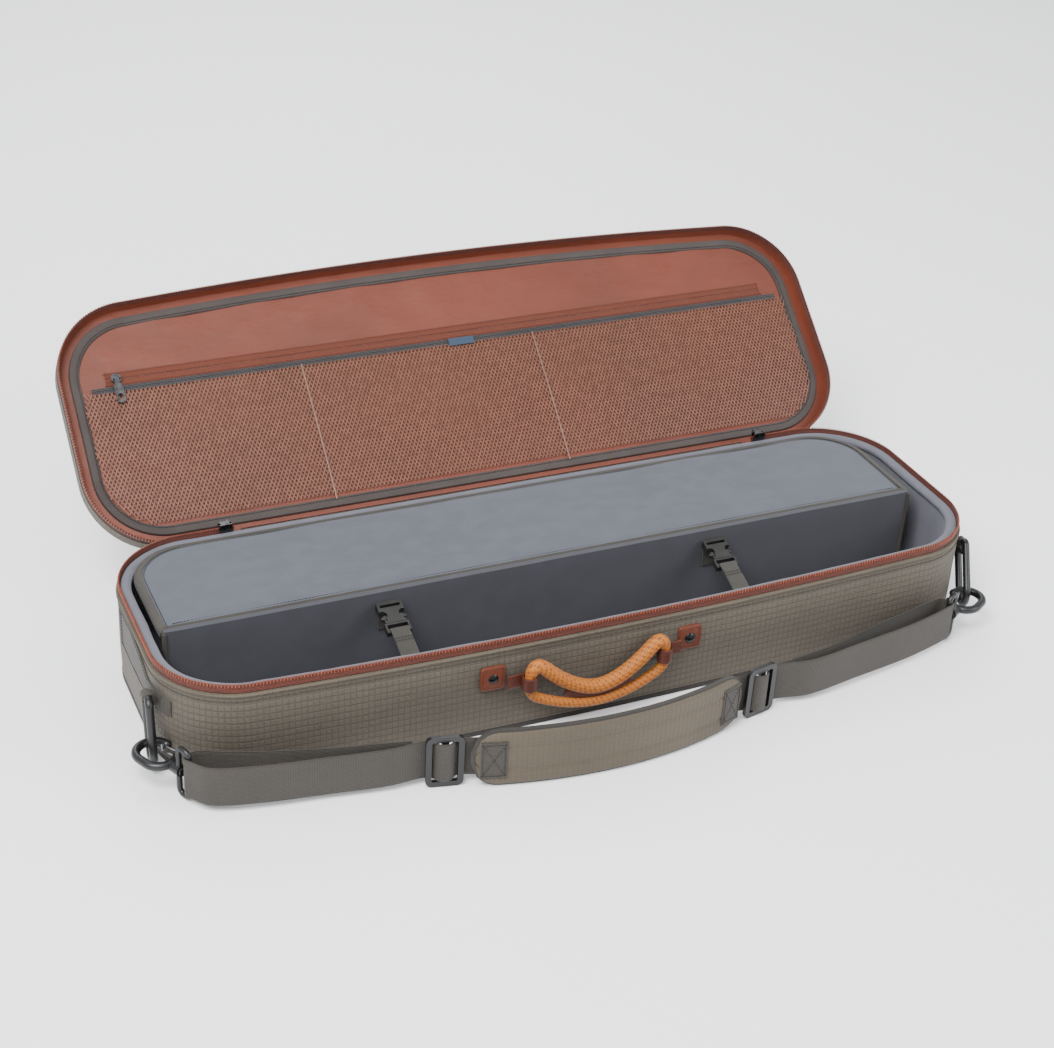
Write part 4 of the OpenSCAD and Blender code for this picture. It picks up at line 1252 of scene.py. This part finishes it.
def rounded_plate(build, centre, size, thick, out, radius=0.004, slot=0, dome=0.0006):
    """A leather patch standing on a wall: soft edges and a slight dome. out is the way it faces."""
    across = Vector((0, 0, 1)).cross(out).normalized()
    up = Vector((0, 0, 1))
    outline = []
    for cx, cz, start in ((1, 1, 0), (-1, 1, 90), (-1, -1, 180), (1, -1, 270)):
        for i in range(7):
            a = math.radians(start + 15 * i)
            outline.append((cx * (size[0] / 2 - radius) + radius * math.cos(a),
                            cz * (size[1] / 2 - radius) + radius * math.sin(a)))
    rows = []
    steps = ((1.0, 0), (1.0, thick * 0.62), (0.985, thick * 0.86), (0.95, thick * 0.97),
             (0.8, thick + dome * 0.4), (0.5, thick + dome * 0.8), (0.1, thick + dome))
    for k, depth in steps:
        rows.append([centre + across * (a * k) + up * (c * k) + out * depth for a, c in outline])
    around = [0.003 * i for i in range(len(outline) + 1)]
    base, n, count = build.grid(rows, around, [0.002 * i for i in range(len(rows))], True, slot)
    build.cap(base, n, True, slot)
    build.cap(base + (count - 1) * n, n, False, slot)


def braided(build, path, radius_at, flecks, strands=8, pitch=0.022, sides=40):
    """Two sets of strands that wind opposite ways and pass over and under each other."""
    along = lengths(path)
    tans = tangents(path)
    side0 = Vector((0, 1, 0))
    rows = []
    heights = []
    marks = []
    for i, (p, t) in enumerate(zip(path, tans)):
        side = (side0 - t * t.dot(side0)).normalized()
        up = side.cross(t)
        u = along[i] / pitch
        radius = radius_at(i / (len(path) - 1))
        points = []
        for k in range(sides):
            a = k / sides
            right = (a * strands / 2 + u * strands / 2) % 1.0
            left = (a * strands / 2 - u * strands / 2) % 1.0
            over = math.sin(2 * math.pi * (a * strands / 2)) * math.sin(2 * math.pi * (u * strands / 2))
            bulge_r = math.sqrt(max(0, 1 - (2 * right - 1) ** 2))
            bulge_l = math.sqrt(max(0, 1 - (2 * left - 1) ** 2))
            lift = max(bulge_r * (0.75 + 0.25 * over), bulge_l * (0.75 - 0.25 * over))
            r = radius * (0.84 + 0.16 * lift)
            angle = 2 * math.pi * a
            points.append(p + side * (r * math.cos(angle)) + up * (r * math.sin(angle)))
            heights.append(lift)
            band = math.floor(a * strands / 2 + u * strands / 2)
            top = bulge_r * (0.75 + 0.25 * over) > bulge_l * (0.75 - 0.25 * over)
            marks.append(1.0 if top and band % flecks == 0 else 0.0)
        rows.append(points)
    around = [2 * math.pi * 0.005 * k / sides for k in range(sides + 1)]
    base, n, count = build.grid(rows, around, along, True)
    build.marks.setdefault("strand", []).extend(heights)
    build.marks.setdefault("fleck", []).extend(marks)
    build.cap(base, n, True)
    build.cap(base + (count - 1) * n, n)
    build.marks["strand"].extend([0.3, 0.3])
    build.marks["fleck"].extend([0.0, 0.0])


def upper_run(s):
    return Vector((HANDLE_X + 0.053 * s, ROPE_Y - 0.003 * (1 - s * s), 0.039 + 0.030 * abs(s) ** 1.8))


def lower_run(s):
    return Vector((HANDLE_X + 0.058 * s, ROPE_Y - 0.003 * (1 - s * s), 0.024 + 0.015 * s * s))


class RODCASE_OT_handle(MakePiece, bpy.types.Operator):
    """Braided rope handle with its leather tabs, loops and grip"""

    bl_idname = "rodcase.handle"
    bl_label = "Handle"

    def make(self, s):
        out = Vector((0, -1, 0))
        lo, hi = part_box("handle_tabs")
        tab_z = (lo.z + hi.z) / 2
        b = Build()
        runs = []
        for side in (-1, 1):
            x = HANDLE_X + side * 0.0935
            y = lo.y + 0.0024
            rounded_plate(b, Vector((x, y, tab_z)), (0.023, 0.024), 0.0021, out, 0.004)
            edge = []
            for cx, cz, start in ((1, 1, 0), (-1, 1, 90), (-1, -1, 180), (1, -1, 270)):
                for i in range(7):
                    a = math.radians(start + 15 * i)
                    edge.append(Vector((x + cx * 0.0072 + 0.0024 * math.cos(a), y - 0.0026,
                                        tab_z + cz * 0.0077 + 0.0024 * math.sin(a))))
            runs.append((edge + edge[:1], out))
        b.object("leather_tabs", ["leather_rust"], "tray", ("handle_tabs",))
        stitches("tab_stitches", runs, "tray", "thread_rust", 0.0024)
        b = Build()
        for side in (-1, 1):
            cx = HANDLE_X + side * 0.064
            path = []
            for i in range(19):
                a = math.radians(90 - 290 * i / 18)
                x = cx - side * 0.0060 * math.cos(a + math.pi)
                path.append(Vector((x, ROPE_Y + 0.0002 + 0.0060 * math.sin(a), 0.055)))
            tail = Vector((HANDLE_X + side * 0.0822, ROPE_Y + 0.0056, 0.055))
            path = smooth_path([tail] + path, 0.0012)
            sweep(b, path, Vector((0, 0, 1)), flat_section(0.0138, 0.0016))
        b.object("leather_loops", ["leather_dark"], "handle", ("handle_loops",))
        b = Build()
        top = [upper_run(k / 20) for k in range(-20, 21)]
        low = [lower_run(k / 20) for k in range(-20, 21)]
        ends = ((0.0625, 0.044), (0.064, 0.049), (0.064, 0.057), (0.0636, 0.063), (0.061, 0.0685),
                (0.057, 0.0704))
        right = [Vector((HANDLE_X + x, ROPE_Y, z)) for x, z in ends]
        left = [Vector((HANDLE_X - x, ROPE_Y, z)) for x, z in ends]
        lower = smooth_path([left[4], left[3], left[2], left[1], left[0]] + low + right[:5], 0.0009)
        upper = smooth_path([left[3], left[4], left[5]] + top[1:-1] + [right[5], right[4], right[3]], 0.0009)
        braided(b, lower, lambda t: 0.0046 + 0.0004 * abs(2 * t - 1) ** 6, 2, 12, 0.014, 60)
        braided(b, upper, lambda t: 0.0066 - 0.0014 * abs(2 * t - 1) ** 8, 2, 16, 0.020, 80)
        b.object("rope", ["rope_orange"], "handle", ("handle_rope",), smooth=70)
        b = Build()
        path = []
        for k in range(-14, 15):
            u = k / 14 * 0.56
            mid = (upper_run(u) + lower_run(u)) / 2
            path.append(mid)
        shape = flat_section(0.008, 0.0022, 0.2)

        def narrowing(t):
            inside = min(max(t, 0.02), 0.98)
            return (0.6 + 0.4 * math.sin(math.pi * inside) ** 0.4, 1)

        sweep(b, path, Vector((0, 0, 1)), shape, scale=narrowing)
        b.object("grip_strip", ["leather_dark"], "handle", ("handle_grip",))


# ---------- shoulder strap ----------

def front(depth):
    return depth / 1000 - HALF_D


def bezier(a, b, c, d, t):
    return a * (1 - t) ** 3 + b * (3 * t * (1 - t) ** 2) + c * (3 * t * t * (1 - t)) + d * t ** 3


def pad_line(count=48):
    """Middle of the shoulder pad, seen from above."""
    ends = [Vector((x * MM, front(d), 0)) for x, d in ((-158, -69), (-73, -95), (17, -96), (92, -66))]
    return [bezier(*ends, i / count) for i in range(count + 1)]


def centre_of(node):
    lo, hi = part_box(node)
    return (lo + hi) / 2


def glide_run(at, sign):
    """Where the webbing threads up and over the glide's middle bar."""
    a = math.radians(12)
    d = Vector((sign * math.cos(a), -math.sin(a), 0))
    n = Vector((-d.y, d.x, 0)) * (1 if d.x > 0 else -1)
    g = Vector((at.x, at.y, 0))
    steps = ((-0.020, 1), (-0.0104, 1), (-0.0042, -1), (0.0042, -1), (0.0104, 1))
    return [g + d * l + n * (0.0033 * k) for l, k in steps]


def pad_back(share):
    line = pad_line()
    i = round(share * (len(line) - 1))
    t = tangents(line)[i]
    return line[i] + Vector((-t.y, t.x, 0)) * 0.0055


def strap_path(side):
    """Middle of the webbing seen from above: out past the ring of the hook and back to the pad."""
    if side == "left":
        before = [(-205, -50.4), (-262, -39), (-310, -25), (-350, -12), (-372, -3.6)]
        eye = Vector((-0.380, -0.1324, 0))
        turns = [100 + 28 * i for i in range(6)]
        after = [(-368, -30), (-330, -40), (-273, -47), (-225, -54)]
        tail = glide_run(centre_of("tri_glide_left"), 1) + [pad_back(0.0), pad_back(1 / 12)]
    else:
        before = [(152, -53.4), (205, -44), (260, -30), (310, -18), (333, -13)]
        eye = Vector((0.338, -0.1434, 0))
        turns = [50 - 28 * i for i in range(6)]
        after = [(322, -31), (280, -42), (220, -53), (170, -60)]
        tail = glide_run(centre_of("tri_glide_right"), -1) + [pad_back(1.0), pad_back(11 / 12)]
    turn = [eye + Vector((math.cos(math.radians(a)), math.sin(math.radians(a)), 0)) * 0.0038 for a in turns]
    points = [Vector((x * MM, front(d), 0)) for x, d in before] + turn
    points += [Vector((x * MM, front(d), 0)) for x, d in after] + tail
    return points


class RODCASE_OT_strap(MakePiece, bpy.types.Operator):
    """Shoulder strap webbing that lies along the front, and its padded middle"""

    bl_idname = "rodcase.strap"
    bl_label = "Shoulder strap"

    def make(self, s):
        lo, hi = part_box("strap_webbing_left")
        mid = (lo.z + hi.z) / 2
        for side in ("left", "right"):
            path = [Vector((p.x, p.y, mid)) for p in smooth_path(strap_path(side), 0.0025)]
            run = lengths(path)
            soft = []
            for p, l in zip(path, run):
                lean = 0.0009 * math.sin(l * 31 + (1 if side == "left" else 4)) * min(1, l / 0.03)
                soft.append(p + Vector((0, 0, lean * 0.8)))
            b = Build()
            sweep(b, soft, Vector((0, 0, 1)), flat_section(0.0378, 0.0017, 0.3, 12))
            b.object("strap_web_" + side, ["strap_webbing"], "tray", ("strap_webbing_" + side,))
        line = pad_line()
        tans = tangents(line)
        lo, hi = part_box("shoulder_pad")
        run = lengths(line)
        total = run[-1]
        b = Build()
        section_count = 28
        rows = []
        for i, (p, t) in enumerate(zip(line, tans)):
            n = Vector((-t.y, t.x, 0))
            l = run[i]
            from_end = min(l, total - l)
            radius = 0.022
            cut = 0
            if from_end < radius:
                cut = radius - math.sqrt(max(radius ** 2 - (radius - from_end) ** 2, 0))
            z0, z1 = lo.z + cut + 0.0005, hi.z - cut - 0.0005
            faces = []
            for front_side in (-1, 1):
                column = []
                for k in range(section_count + 1):
                    v = k / section_count
                    z = z0 + (z1 - z0) * v
                    rim = min(1, math.sqrt(max(min(v, 1 - v), 0) * 14))
                    rim *= min(1, math.sqrt(from_end / 0.008 + 0.05))
                    channel = 0
                    for at in (0.30, 0.70):
                        channel += math.exp(-((v - at) / 0.022) ** 2)
                    quilt = 0.0013 * channel * (1 if front_side < 0 else 0.4)
                    soft = noise.noise(Vector((l * 40, z * 40, front_side * 3))) * 0.0005
                    depth = 0.0008 + 0.0037 * rim - quilt + soft * rim
                    column.append(p + n * (front_side * max(depth, 0.0006)) + Vector((0, 0, z)))
                faces.append(column)
            rows.append(faces[0] + faces[1][::-1])
        m = len(rows[0])
        around = [0.002 * k for k in range(m + 1)]
        base, n, count = b.grid(rows, around, run, True)
        b.cap(base, n, True)
        b.cap(base + (count - 1) * n, n)
        pad = b.object("shoulder_cushion", ["pad_cloth"], "tray", ("shoulder_pad",))
        b = Build()
        rim = []
        for i, p in enumerate(line):
            from_end = min(run[i], total - run[i])
            cut = 0.022 - math.sqrt(max(0.022 ** 2 - (0.022 - min(from_end, 0.022)) ** 2, 0))
            rim.append((p, cut))
        low = [p + Vector((0, 0, lo.z + 0.0024 + cut)) for p, cut in rim]
        high = [p + Vector((0, 0, hi.z - 0.0024 - cut)) for p, cut in rim]
        loop = resample(low + high[::-1], 0.003, True)
        side = []
        for q in loop:
            i = min(range(len(line)), key=lambda j: (line[j].x - q.x) ** 2 + (line[j].y - q.y) ** 2)
            side.append(Vector((-tans[i].y, tans[i].x, 0)))
        tape = [(-0.0024, -0.0026), (-0.0028, 0.0), (-0.0018, 0.0022), (0.0018, 0.0022), (0.0028, 0.0),
                (0.0024, -0.0026)]
        sweep(b, loop, side, tape, closed=True)
        b.object("pad_edge_tape", ["pad_binding"], "tray", ())
        for end, name in ((0, "near"), (1, "far")):
            ids = range(1, 6) if end == 0 else range(len(line) - 6, len(line) - 1)
            path = []
            for i in ids:
                n = Vector((-tans[i].y, tans[i].x, 0))
                path.append(line[i] - n * 0.0049 + Vector((0, 0, mid + 0.0028)))
            b = Build()
            sweep(b, resample(path, 0.002), Vector((0, 0, 1)), flat_section(0.0375, 0.0014, 0.3, 12))
            replaced = ("pad_patches",) if end == 0 else ()
            b.object("pad_patch_" + name, ["strap_webbing"], "tray", replaced)
            n = Vector((-tans[3].y, tans[3].x, 0)) if end == 0 else Vector((-tans[-4].y, tans[-4].x, 0))
            a, c = path[0] - n * 0.0009, path[-1] - n * 0.0009
            a, c = a.lerp(c, 0.08), a.lerp(c, 0.92)
            h = Vector((0, 0, 0.0155))
            runs = [([a - h, c - h], -n), ([a + h, c + h], -n), ([a - h, a + h], -n), ([c - h, c + h], -n),
                    ([a - h, c + h], -n), ([a + h, c - h], -n)]
            runs = [(resample(points, 0.003), out) for points, out in runs]
            stitches("pad_patch_stitches_" + name, runs, "tray", "thread_dark", s.stitch_pitch)


# ---------- lid ----------

def panel_side_y(v):
    """Y of a place v metres down the lining, measured from the hinge with the lid shut."""
    return HALF_D - v


class RODCASE_OT_lid(MakePiece, bpy.types.Operator):
    """Outer shell, side lining, zip half, binding and creased lining of the lid"""

    bl_idname = "rodcase.lid"
    bl_label = "Lid"

    def make(self, s):
        def soft(p):
            n = noise.noise(Vector((p.x * 20, p.y * 24, p.z * 40 + 11)))
            return p + Vector((0, 0, 0.0011 * n if p.z > LID_TOP - 0.002 else 0.0002 * n))
        b = Build()
        profile = [(0.0014, LID_TAPE_Z), (0.0002, LID_TAPE_Z), (0.0, LID_TAPE_Z + 0.0008)]
        profile += [(0.0, LID_TAPE_Z + 0.001 * k) for k in (3, 5, 7, 9, 11, 13)]
        profile += [(0.0004, LID_TOP - 0.0026), (0.0014, LID_TOP - 0.0011), (0.003, LID_TOP - 0.0003)]
        profile += [(0.006, LID_TOP)]
        profile += [(0.006, LID_TOP, k) for k in (0.985, 0.95, 0.88, 0.76, 0.6, 0.42, 0.2, 0)]
        profile += [(0.006, LID_TOP - 0.0014, k) for k in (0, 0.42, 0.76, 0.95, 0.985)]
        profile += [(0.0014, LID_TOP - 0.0044), (0.0014, LID_TAPE_Z)]
        loft(b, profile, move=True, ripple=soft)
        b.object("lid_skin", ["shell_ripstop"], "lid", ("lid_shell", "lid_foam"))
        b = Build()
        profile = [(0.0018, LID_TAPE_Z - 0.0018), (0.0024, LID_TAPE_Z - 0.002), (0.0030, LID_TAPE_Z),
                   (0.0036, LID_TAPE_Z + 0.004), (0.0044, LID_TAPE_Z + 0.0055), (0.0115, LID_TAPE_Z + 0.0048),
                   (0.0118, LID_TAPE_Z + 0.0056), (0.0052, LID_TAPE_Z + 0.0088), (0.0018, LID_TAPE_Z + 0.006),
                   (0.0018, LID_TAPE_Z - 0.0018)]
        loft(b, profile, move=True)
        b.object("lid_gusset", ["rust_nylon"], "lid", ("lid_side",))
        around = plan(0)
        keep = [i for i, p in enumerate(around) if not (p.y > 0 and abs(p.x) < 0.322)]
        path = opened([Vector((p.x, p.y, LID_Z + 0.0066)) for p in [plan(0.0016)[i] for i in keep]])
        up = LID_TURN.to_3x3() @ Vector((0, 0, 1))
        b = Build()
        sweep(b, path, up, flat_section(0.0078, 0.0011, 0.2))
        b.object("lid_tape", ["zip_rust"], "lid", ("lid_zip_tape",))
        coil = opened([Vector((p.x, p.y, LID_Z + 0.0022)) for p in [plan(0.0016)[i] for i in keep]])
        b = Build()
        sweep(b, coil, up, round_section(0.0007, 8))
        b.object("lid_coil_core", ["zip_rust"], "lid", ())
        turned = LID_TURN.to_3x3()
        edge = plan(0.0016)
        outward = [turned @ v for v in along_front([edge[i] for i in keep])]
        filaments("lid_coil_loops", [(coil, outward)], "lid", "coil_rust", True, ("lid_zip_coil",), "coil_rust",
                  pitch=s.tooth_pitch, length=0.0042, height=0.0011, radius=0.0006, skew=0.0004)
        b = Build()
        profile = [(0.0118, LID_TAPE_Z + 0.0049), (0.0116, LID_TAPE_Z + 0.0032), (0.0124, LID_TAPE_Z + 0.0021),
                   (0.0150, LID_TAPE_Z + 0.0018), (0.0180, LID_TAPE_Z + 0.0021), (0.0204, LID_TAPE_Z + 0.0028),
                   (0.0211, LID_TAPE_Z + 0.0040), (0.0210, LID_TAPE_Z + 0.0050), (0.0150, LID_TAPE_Z + 0.0052),
                   (0.0118, LID_TAPE_Z + 0.0049)]
        def pinch(p):
            n = noise.noise(Vector((p.x * 70, p.y * 70, 1)))
            return p + Vector((0, 0, 0.0002 * n))
        loft(b, profile, move=True, ripple=pinch)
        b.object("lid_edge_tape", ["lid_binding_tape"], "lid", ("lid_binding",))
        row = [Vector((p.x, p.y, LID_TAPE_Z + 0.0020)) for p in plan(0.0188)]
        row.append(row[0])
        stitches("lid_edge_stitches", [(opened(row), -up)], "lid", "thread_dark", s.stitch_pitch)

        def creases(p):
            v = HALF_D - p.y
            lie = 1.0 if p.z < PANEL_Z + 0.001 else 0.0
            edge = max(0, 1 - abs(v - 0.215) / 0.04)
            bend = noise.noise(Vector((p.x * 9, p.y * 9, 0)))
            diagonal = math.sin((p.x + p.y * 0.75) * 62 + 2.2 * bend)
            n = noise.noise(Vector((p.x * 26, p.y * 30, 4)))
            low = 0.0011 * n + 0.0007 * diagonal * edge
            return p - Vector((0, 0, lie * max(low, -0.0006)))
        b = Build()
        profile = [(0.0125, PANEL_Z + 0.0014), (0.0125, PANEL_Z - 0.0002)]
        profile += [(0.0125, PANEL_Z - 0.0006, k) for k in
                    (0.995, 0.98, 0.96, 0.93, 0.9, 0.86, 0.81, 0.75, 0.68, 0.6, 0.5, 0.4, 0.3, 0.2, 0.1, 0)]
        profile += [(0.0125, PANEL_Z + 0.0006, k) for k in (0, 0.3, 0.6, 0.9)]
        profile += [(0.0125, PANEL_Z + 0.0014)]
        loft(b, profile, move=True, ripple=creases)
        b.object("lid_lining_cloth", ["rust_nylon"], "lid", ("lid_lining",))
        b = Build()
        strip = [Vector((x * 0.01, HALF_D - 0.0009, 0.0981)) for x in range(-26, 27)]
        sweep(b, opened(strip), up, flat_section(0.0158, 0.0013, 0.3))
        b.object("hinge_lining", ["rust_nylon"], "lid", ("lid_hinge_strip",))


def inside_panel(x, y, inset):
    """Whether a place is inside the case's outline by this much."""
    ax = abs(x)
    if ax > HALF_L - inset or y > HALF_D - inset:
        return False
    if y < inset - HALF_D - (BOW * (1 - (x / CORNER_X) ** 2) if ax < CORNER_X else 0):
        return False
    if ax > CORNER_X and abs(y) > CORNER_Y:
        return (ax - CORNER_X) ** 2 + (abs(y) - CORNER_Y) ** 2 < (CORNER_R - inset) ** 2
    return True


class RODCASE_OT_pocket(MakePiece, bpy.types.Operator):
    """Net pocket in the lid with its zip, edge band and blank label"""

    bl_idname = "rodcase.pocket"
    bl_label = "Net pocket"

    def make(self, s):
        up = LID_TURN.to_3x3() @ Vector((0, 0, 1))
        y0, y1 = panel_side_y(0.158), panel_side_y(0.0185)
        b = Build()

        def sag(x, y):
            v = min(max((y - y0) / (y1 - y0), 0), 1)
            n = noise.noise(Vector((x * 11, y * 13, 2)))
            return 0.0011 * math.sin(math.pi * v) + 0.0005 * n
        for slope in (-1, 1):
            reach = HALF_L + (y1 - y0)
            count = int(2 * reach / s.net_pitch / 0.8660)
            for i in range(count):
                c = -reach + i * s.net_pitch / 0.8660
                run = []
                steps = 24
                for k in range(steps + 1):
                    y = y0 + (y1 - y0) * k / steps
                    x = c + slope * (y - y0) * 0.577
                    if inside_panel(x, y, 0.0195):
                        run.append(Vector((x, y, PANEL_Z - 0.0032 - sag(x, y) + 0.00015 * slope)))
                if len(run) > 2:
                    sweep(b, opened(run), LID_TURN.to_3x3() @ Vector((1, 0, 0)),
                          [(-0.00052, -0.0001), (0.00052, -0.0001), (0, 0.0004)])
        for x in (-0.160, 0.081):
            run = [Vector((x, y0 + (y1 - y0) * k / 24, PANEL_Z - 0.0040 - sag(x, y0 + (y1 - y0) * k / 24)))
                   for k in range(25)]
            sweep(b, opened(run), LID_TURN.to_3x3() @ Vector((1, 0, 0)), flat_section(0.0018, 0.0006, 0.3))
        b.object("pocket_net", ["mesh_yarn"], "lid", ("mesh_panel",))
        bands = Build()
        for v, w in ((0.1578, 0.0026), (0.1608, 0.0026)):
            path = [Vector((x * 0.008, panel_side_y(v), PANEL_Z - 0.0031)) for x in range(-45, 46)]
            sweep(bands, opened(path), LID_TURN.to_3x3() @ Vector((0, 1, 0)), flat_section(w, 0.0014, 0.3))
        bands.object("net_edge_band", ["band_grey"], "lid", ("mesh_band",))
        runs = [(opened([Vector((x * 0.008, panel_side_y(v), PANEL_Z - 0.0040)) for x in range(-45, 46)]), -up)
                for v in (0.1578, 0.1608)]
        stitches("net_band_stitches", runs, "lid", "thread_dark", s.stitch_pitch)
        zip_lo, zip_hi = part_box("pocket_zip")
        half = (zip_hi.x - zip_lo.x) / 2
        tapes = Build()
        for v in (0.1662, 0.1738):
            path = [Vector((-half + 2 * half * k / 100, panel_side_y(v), PANEL_Z - 0.0012)) for k in range(101)]
            sweep(tapes, opened(path), LID_TURN.to_3x3() @ Vector((0, 1, 0)), flat_section(0.0066, 0.0009, 0.2))
        tapes.object("pocket_zip_tape", ["pocket_tape"], "lid", ("pocket_zip",))
        run = 2 * half - 0.004
        path = opened([Vector((-half + 0.002 + run * k / 60, panel_side_y(0.170), PANEL_Z - 0.0012))
                       for k in range(61)])
        filaments("pocket_coil_loops", [(path, -up)], "lid", "coil_pocket", True, (), "coil_rust",
                  pitch=0.0016, length=0.0030, height=0.0008, radius=0.0004, skew=0.0004)
        runs = []
        for v in (0.1642, 0.1758):
            runs.append((opened([Vector((-half + 2 * half * k / 60, panel_side_y(v), PANEL_Z - 0.0018))
                                 for k in range(61)]), -up))
        for x in (-half + 0.0010, -half + 0.0024, half - 0.0010):
            tack = [Vector((x, panel_side_y(0.164 + 0.012 * k / 6), PANEL_Z - 0.0019)) for k in range(7)]
            runs.append((opened(tack), -up))
        stitches("pocket_zip_stitches", runs, "lid", "thread_rust", s.stitch_pitch)
        lo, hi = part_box("pocket_label")
        b = Build()
        path = [Vector((lo.x + 0.0003 + (hi.x - lo.x - 0.0006) * k / 12, panel_side_y(0.158), PANEL_Z - 0.0048))
                for k in range(13)]
        sweep(b, opened(path), LID_TURN.to_3x3() @ Vector((0, 1, 0)), flat_section(0.0078, 0.0008, 0.2))
        b.object("woven_label", ["label_blue"], "lid", ("pocket_label",))


# ---------- hard fittings and stage ----------

FITTINGS = {
    "buckle_plastic": ("buckle_female_left", "buckle_female_right", "buckle_male_left", "buckle_male_right"),
    "hook_plastic": ("hook_left", "hook_right", "ring_left", "ring_right", "strap_eye_left", "strap_eye_right",
                     "tri_glide_left", "tri_glide_right"),
    "bright_wire": ("gate_left", "gate_right"),
    "gunmetal": ("main_slider_left", "main_slider_right", "main_pull_left", "main_pull_right", "pocket_slider",
                 "pocket_pull"),
    "rivet_black": ("handle_rivets",),
}


class RODCASE_OT_fittings(MakePiece, bpy.types.Operator):
    """Finishes for the moulded and metal parts"""

    bl_idname = "rodcase.fittings"
    bl_label = "Fittings"

    def make(self, s):
        for material, nodes in FITTINGS.items():
            for name in nodes:
                node = frame["nodes"][name]
                node.data.materials.clear()
                node.data.materials.append(finish(material))


def area_light(name, at, target, size, power, color=(1, 1, 1)):
    light = bpy.data.lights.new(name, "AREA")
    light.shape = "RECTANGLE"
    light.size, light.size_y = size
    light.energy = power
    light.color = color
    obj = bpy.data.objects.new(name, light)
    obj.location = at
    obj.rotation_euler = (Vector(target) - Vector(at)).to_track_quat("-Z", "Y").to_euler()
    bpy.context.scene.collection.objects.link(obj)


class RODCASE_OT_stage(MakePiece, bpy.types.Operator):
    """Pale floor, soft lights and the camera"""

    bl_idname = "rodcase.stage"
    bl_label = "Stage"

    def make(self, s):
        mesh = bpy.data.meshes.new("floor")
        mesh.from_pydata([(-12, -12, -0.0005), (12, -12, -0.0005), (12, 12, -0.0005), (-12, 12, -0.0005)], [],
                         [(0, 1, 2, 3)])
        paper = Finish("paper_floor", 0.75)
        at = paper.place()
        paper.color(paper.mix(paper.noise(at, 3.0, 3.0), (0.95, 0.95, 0.95, 1), (0.97, 0.97, 0.97, 1)))
        mesh.materials.append(paper.material)
        floor = bpy.data.objects.new("floor", mesh)
        bpy.context.scene.collection.objects.link(floor)
        area_light("key", (-1.4, -1.1, 2.6), (0, 0, 0.1), (1.6, 1.6), 165)
        area_light("fill", (1.9, -1.6, 1.5), (0, 0, 0.1), (1.8, 1.4), 44)
        area_light("back", (0.4, 2.2, 1.9), (0, 0, 0.15), (2.0, 1.0), 46)
        world = bpy.data.worlds.new("studio")
        world.use_nodes = True
        world.node_tree.nodes["Background"].inputs[0].default_value = (0.93, 0.96, 1.0, 1)
        world.node_tree.nodes["Background"].inputs[1].default_value = 1.0
        bpy.context.scene.world = world
        camera = bpy.data.cameras.new("camera")
        camera.lens = 66.83
        camera.sensor_width = 36
        camera.clip_start = 0.05
        obj = bpy.data.objects.new("camera", camera)
        obj.matrix_world = Matrix((
            (0.91542, 0.16648, -0.36645, -0.6737),
            (-0.39947, 0.48722, -0.77656, -1.3607),
            (0.04926, 0.85726, 0.51252, 1.0170),
            (0, 0, 0, 1),
        ))
        bpy.context.scene.collection.objects.link(obj)
        bpy.context.scene.camera = obj


OPERATORS = (
    RODCASE_OT_tray, RODCASE_OT_tray_zip, RODCASE_OT_tray_inside, RODCASE_OT_end_bands, RODCASE_OT_divider,
    RODCASE_OT_flap, RODCASE_OT_ties, RODCASE_OT_handle, RODCASE_OT_strap, RODCASE_OT_lid, RODCASE_OT_pocket,
    RODCASE_OT_fittings, RODCASE_OT_stage,
)


class RODCASE_PT_panel(bpy.types.Panel):
    """Buttons for every piece of the case"""

    bl_label = "Rod Case"
    bl_space_type = "VIEW_3D"
    bl_region_type = "UI"
    bl_category = "Rod Case"

    def draw(self, context):
        for name in RodCaseSettings.__annotations__:
            self.layout.prop(context.scene.rod_case, name)
        for operator in OPERATORS:
            self.layout.operator(operator.bl_idname)


def register():
    bpy.utils.register_class(RodCaseSettings)
    bpy.types.Scene.rod_case = bpy.props.PointerProperty(type=RodCaseSettings)
    for operator in OPERATORS:
        bpy.utils.register_class(operator)
    bpy.utils.register_class(RODCASE_PT_panel)


def unregister():
    bpy.utils.unregister_class(RODCASE_PT_panel)
    for operator in reversed(OPERATORS):
        bpy.utils.unregister_class(operator)
    del bpy.types.Scene.rod_case
    bpy.utils.unregister_class(RodCaseSettings)


def main():
    register()
    for operator in OPERATORS:
        group, name = operator.bl_idname.split(".")
        getattr(getattr(bpy.ops, group), name)()


if __name__ == "__main__":
    main()
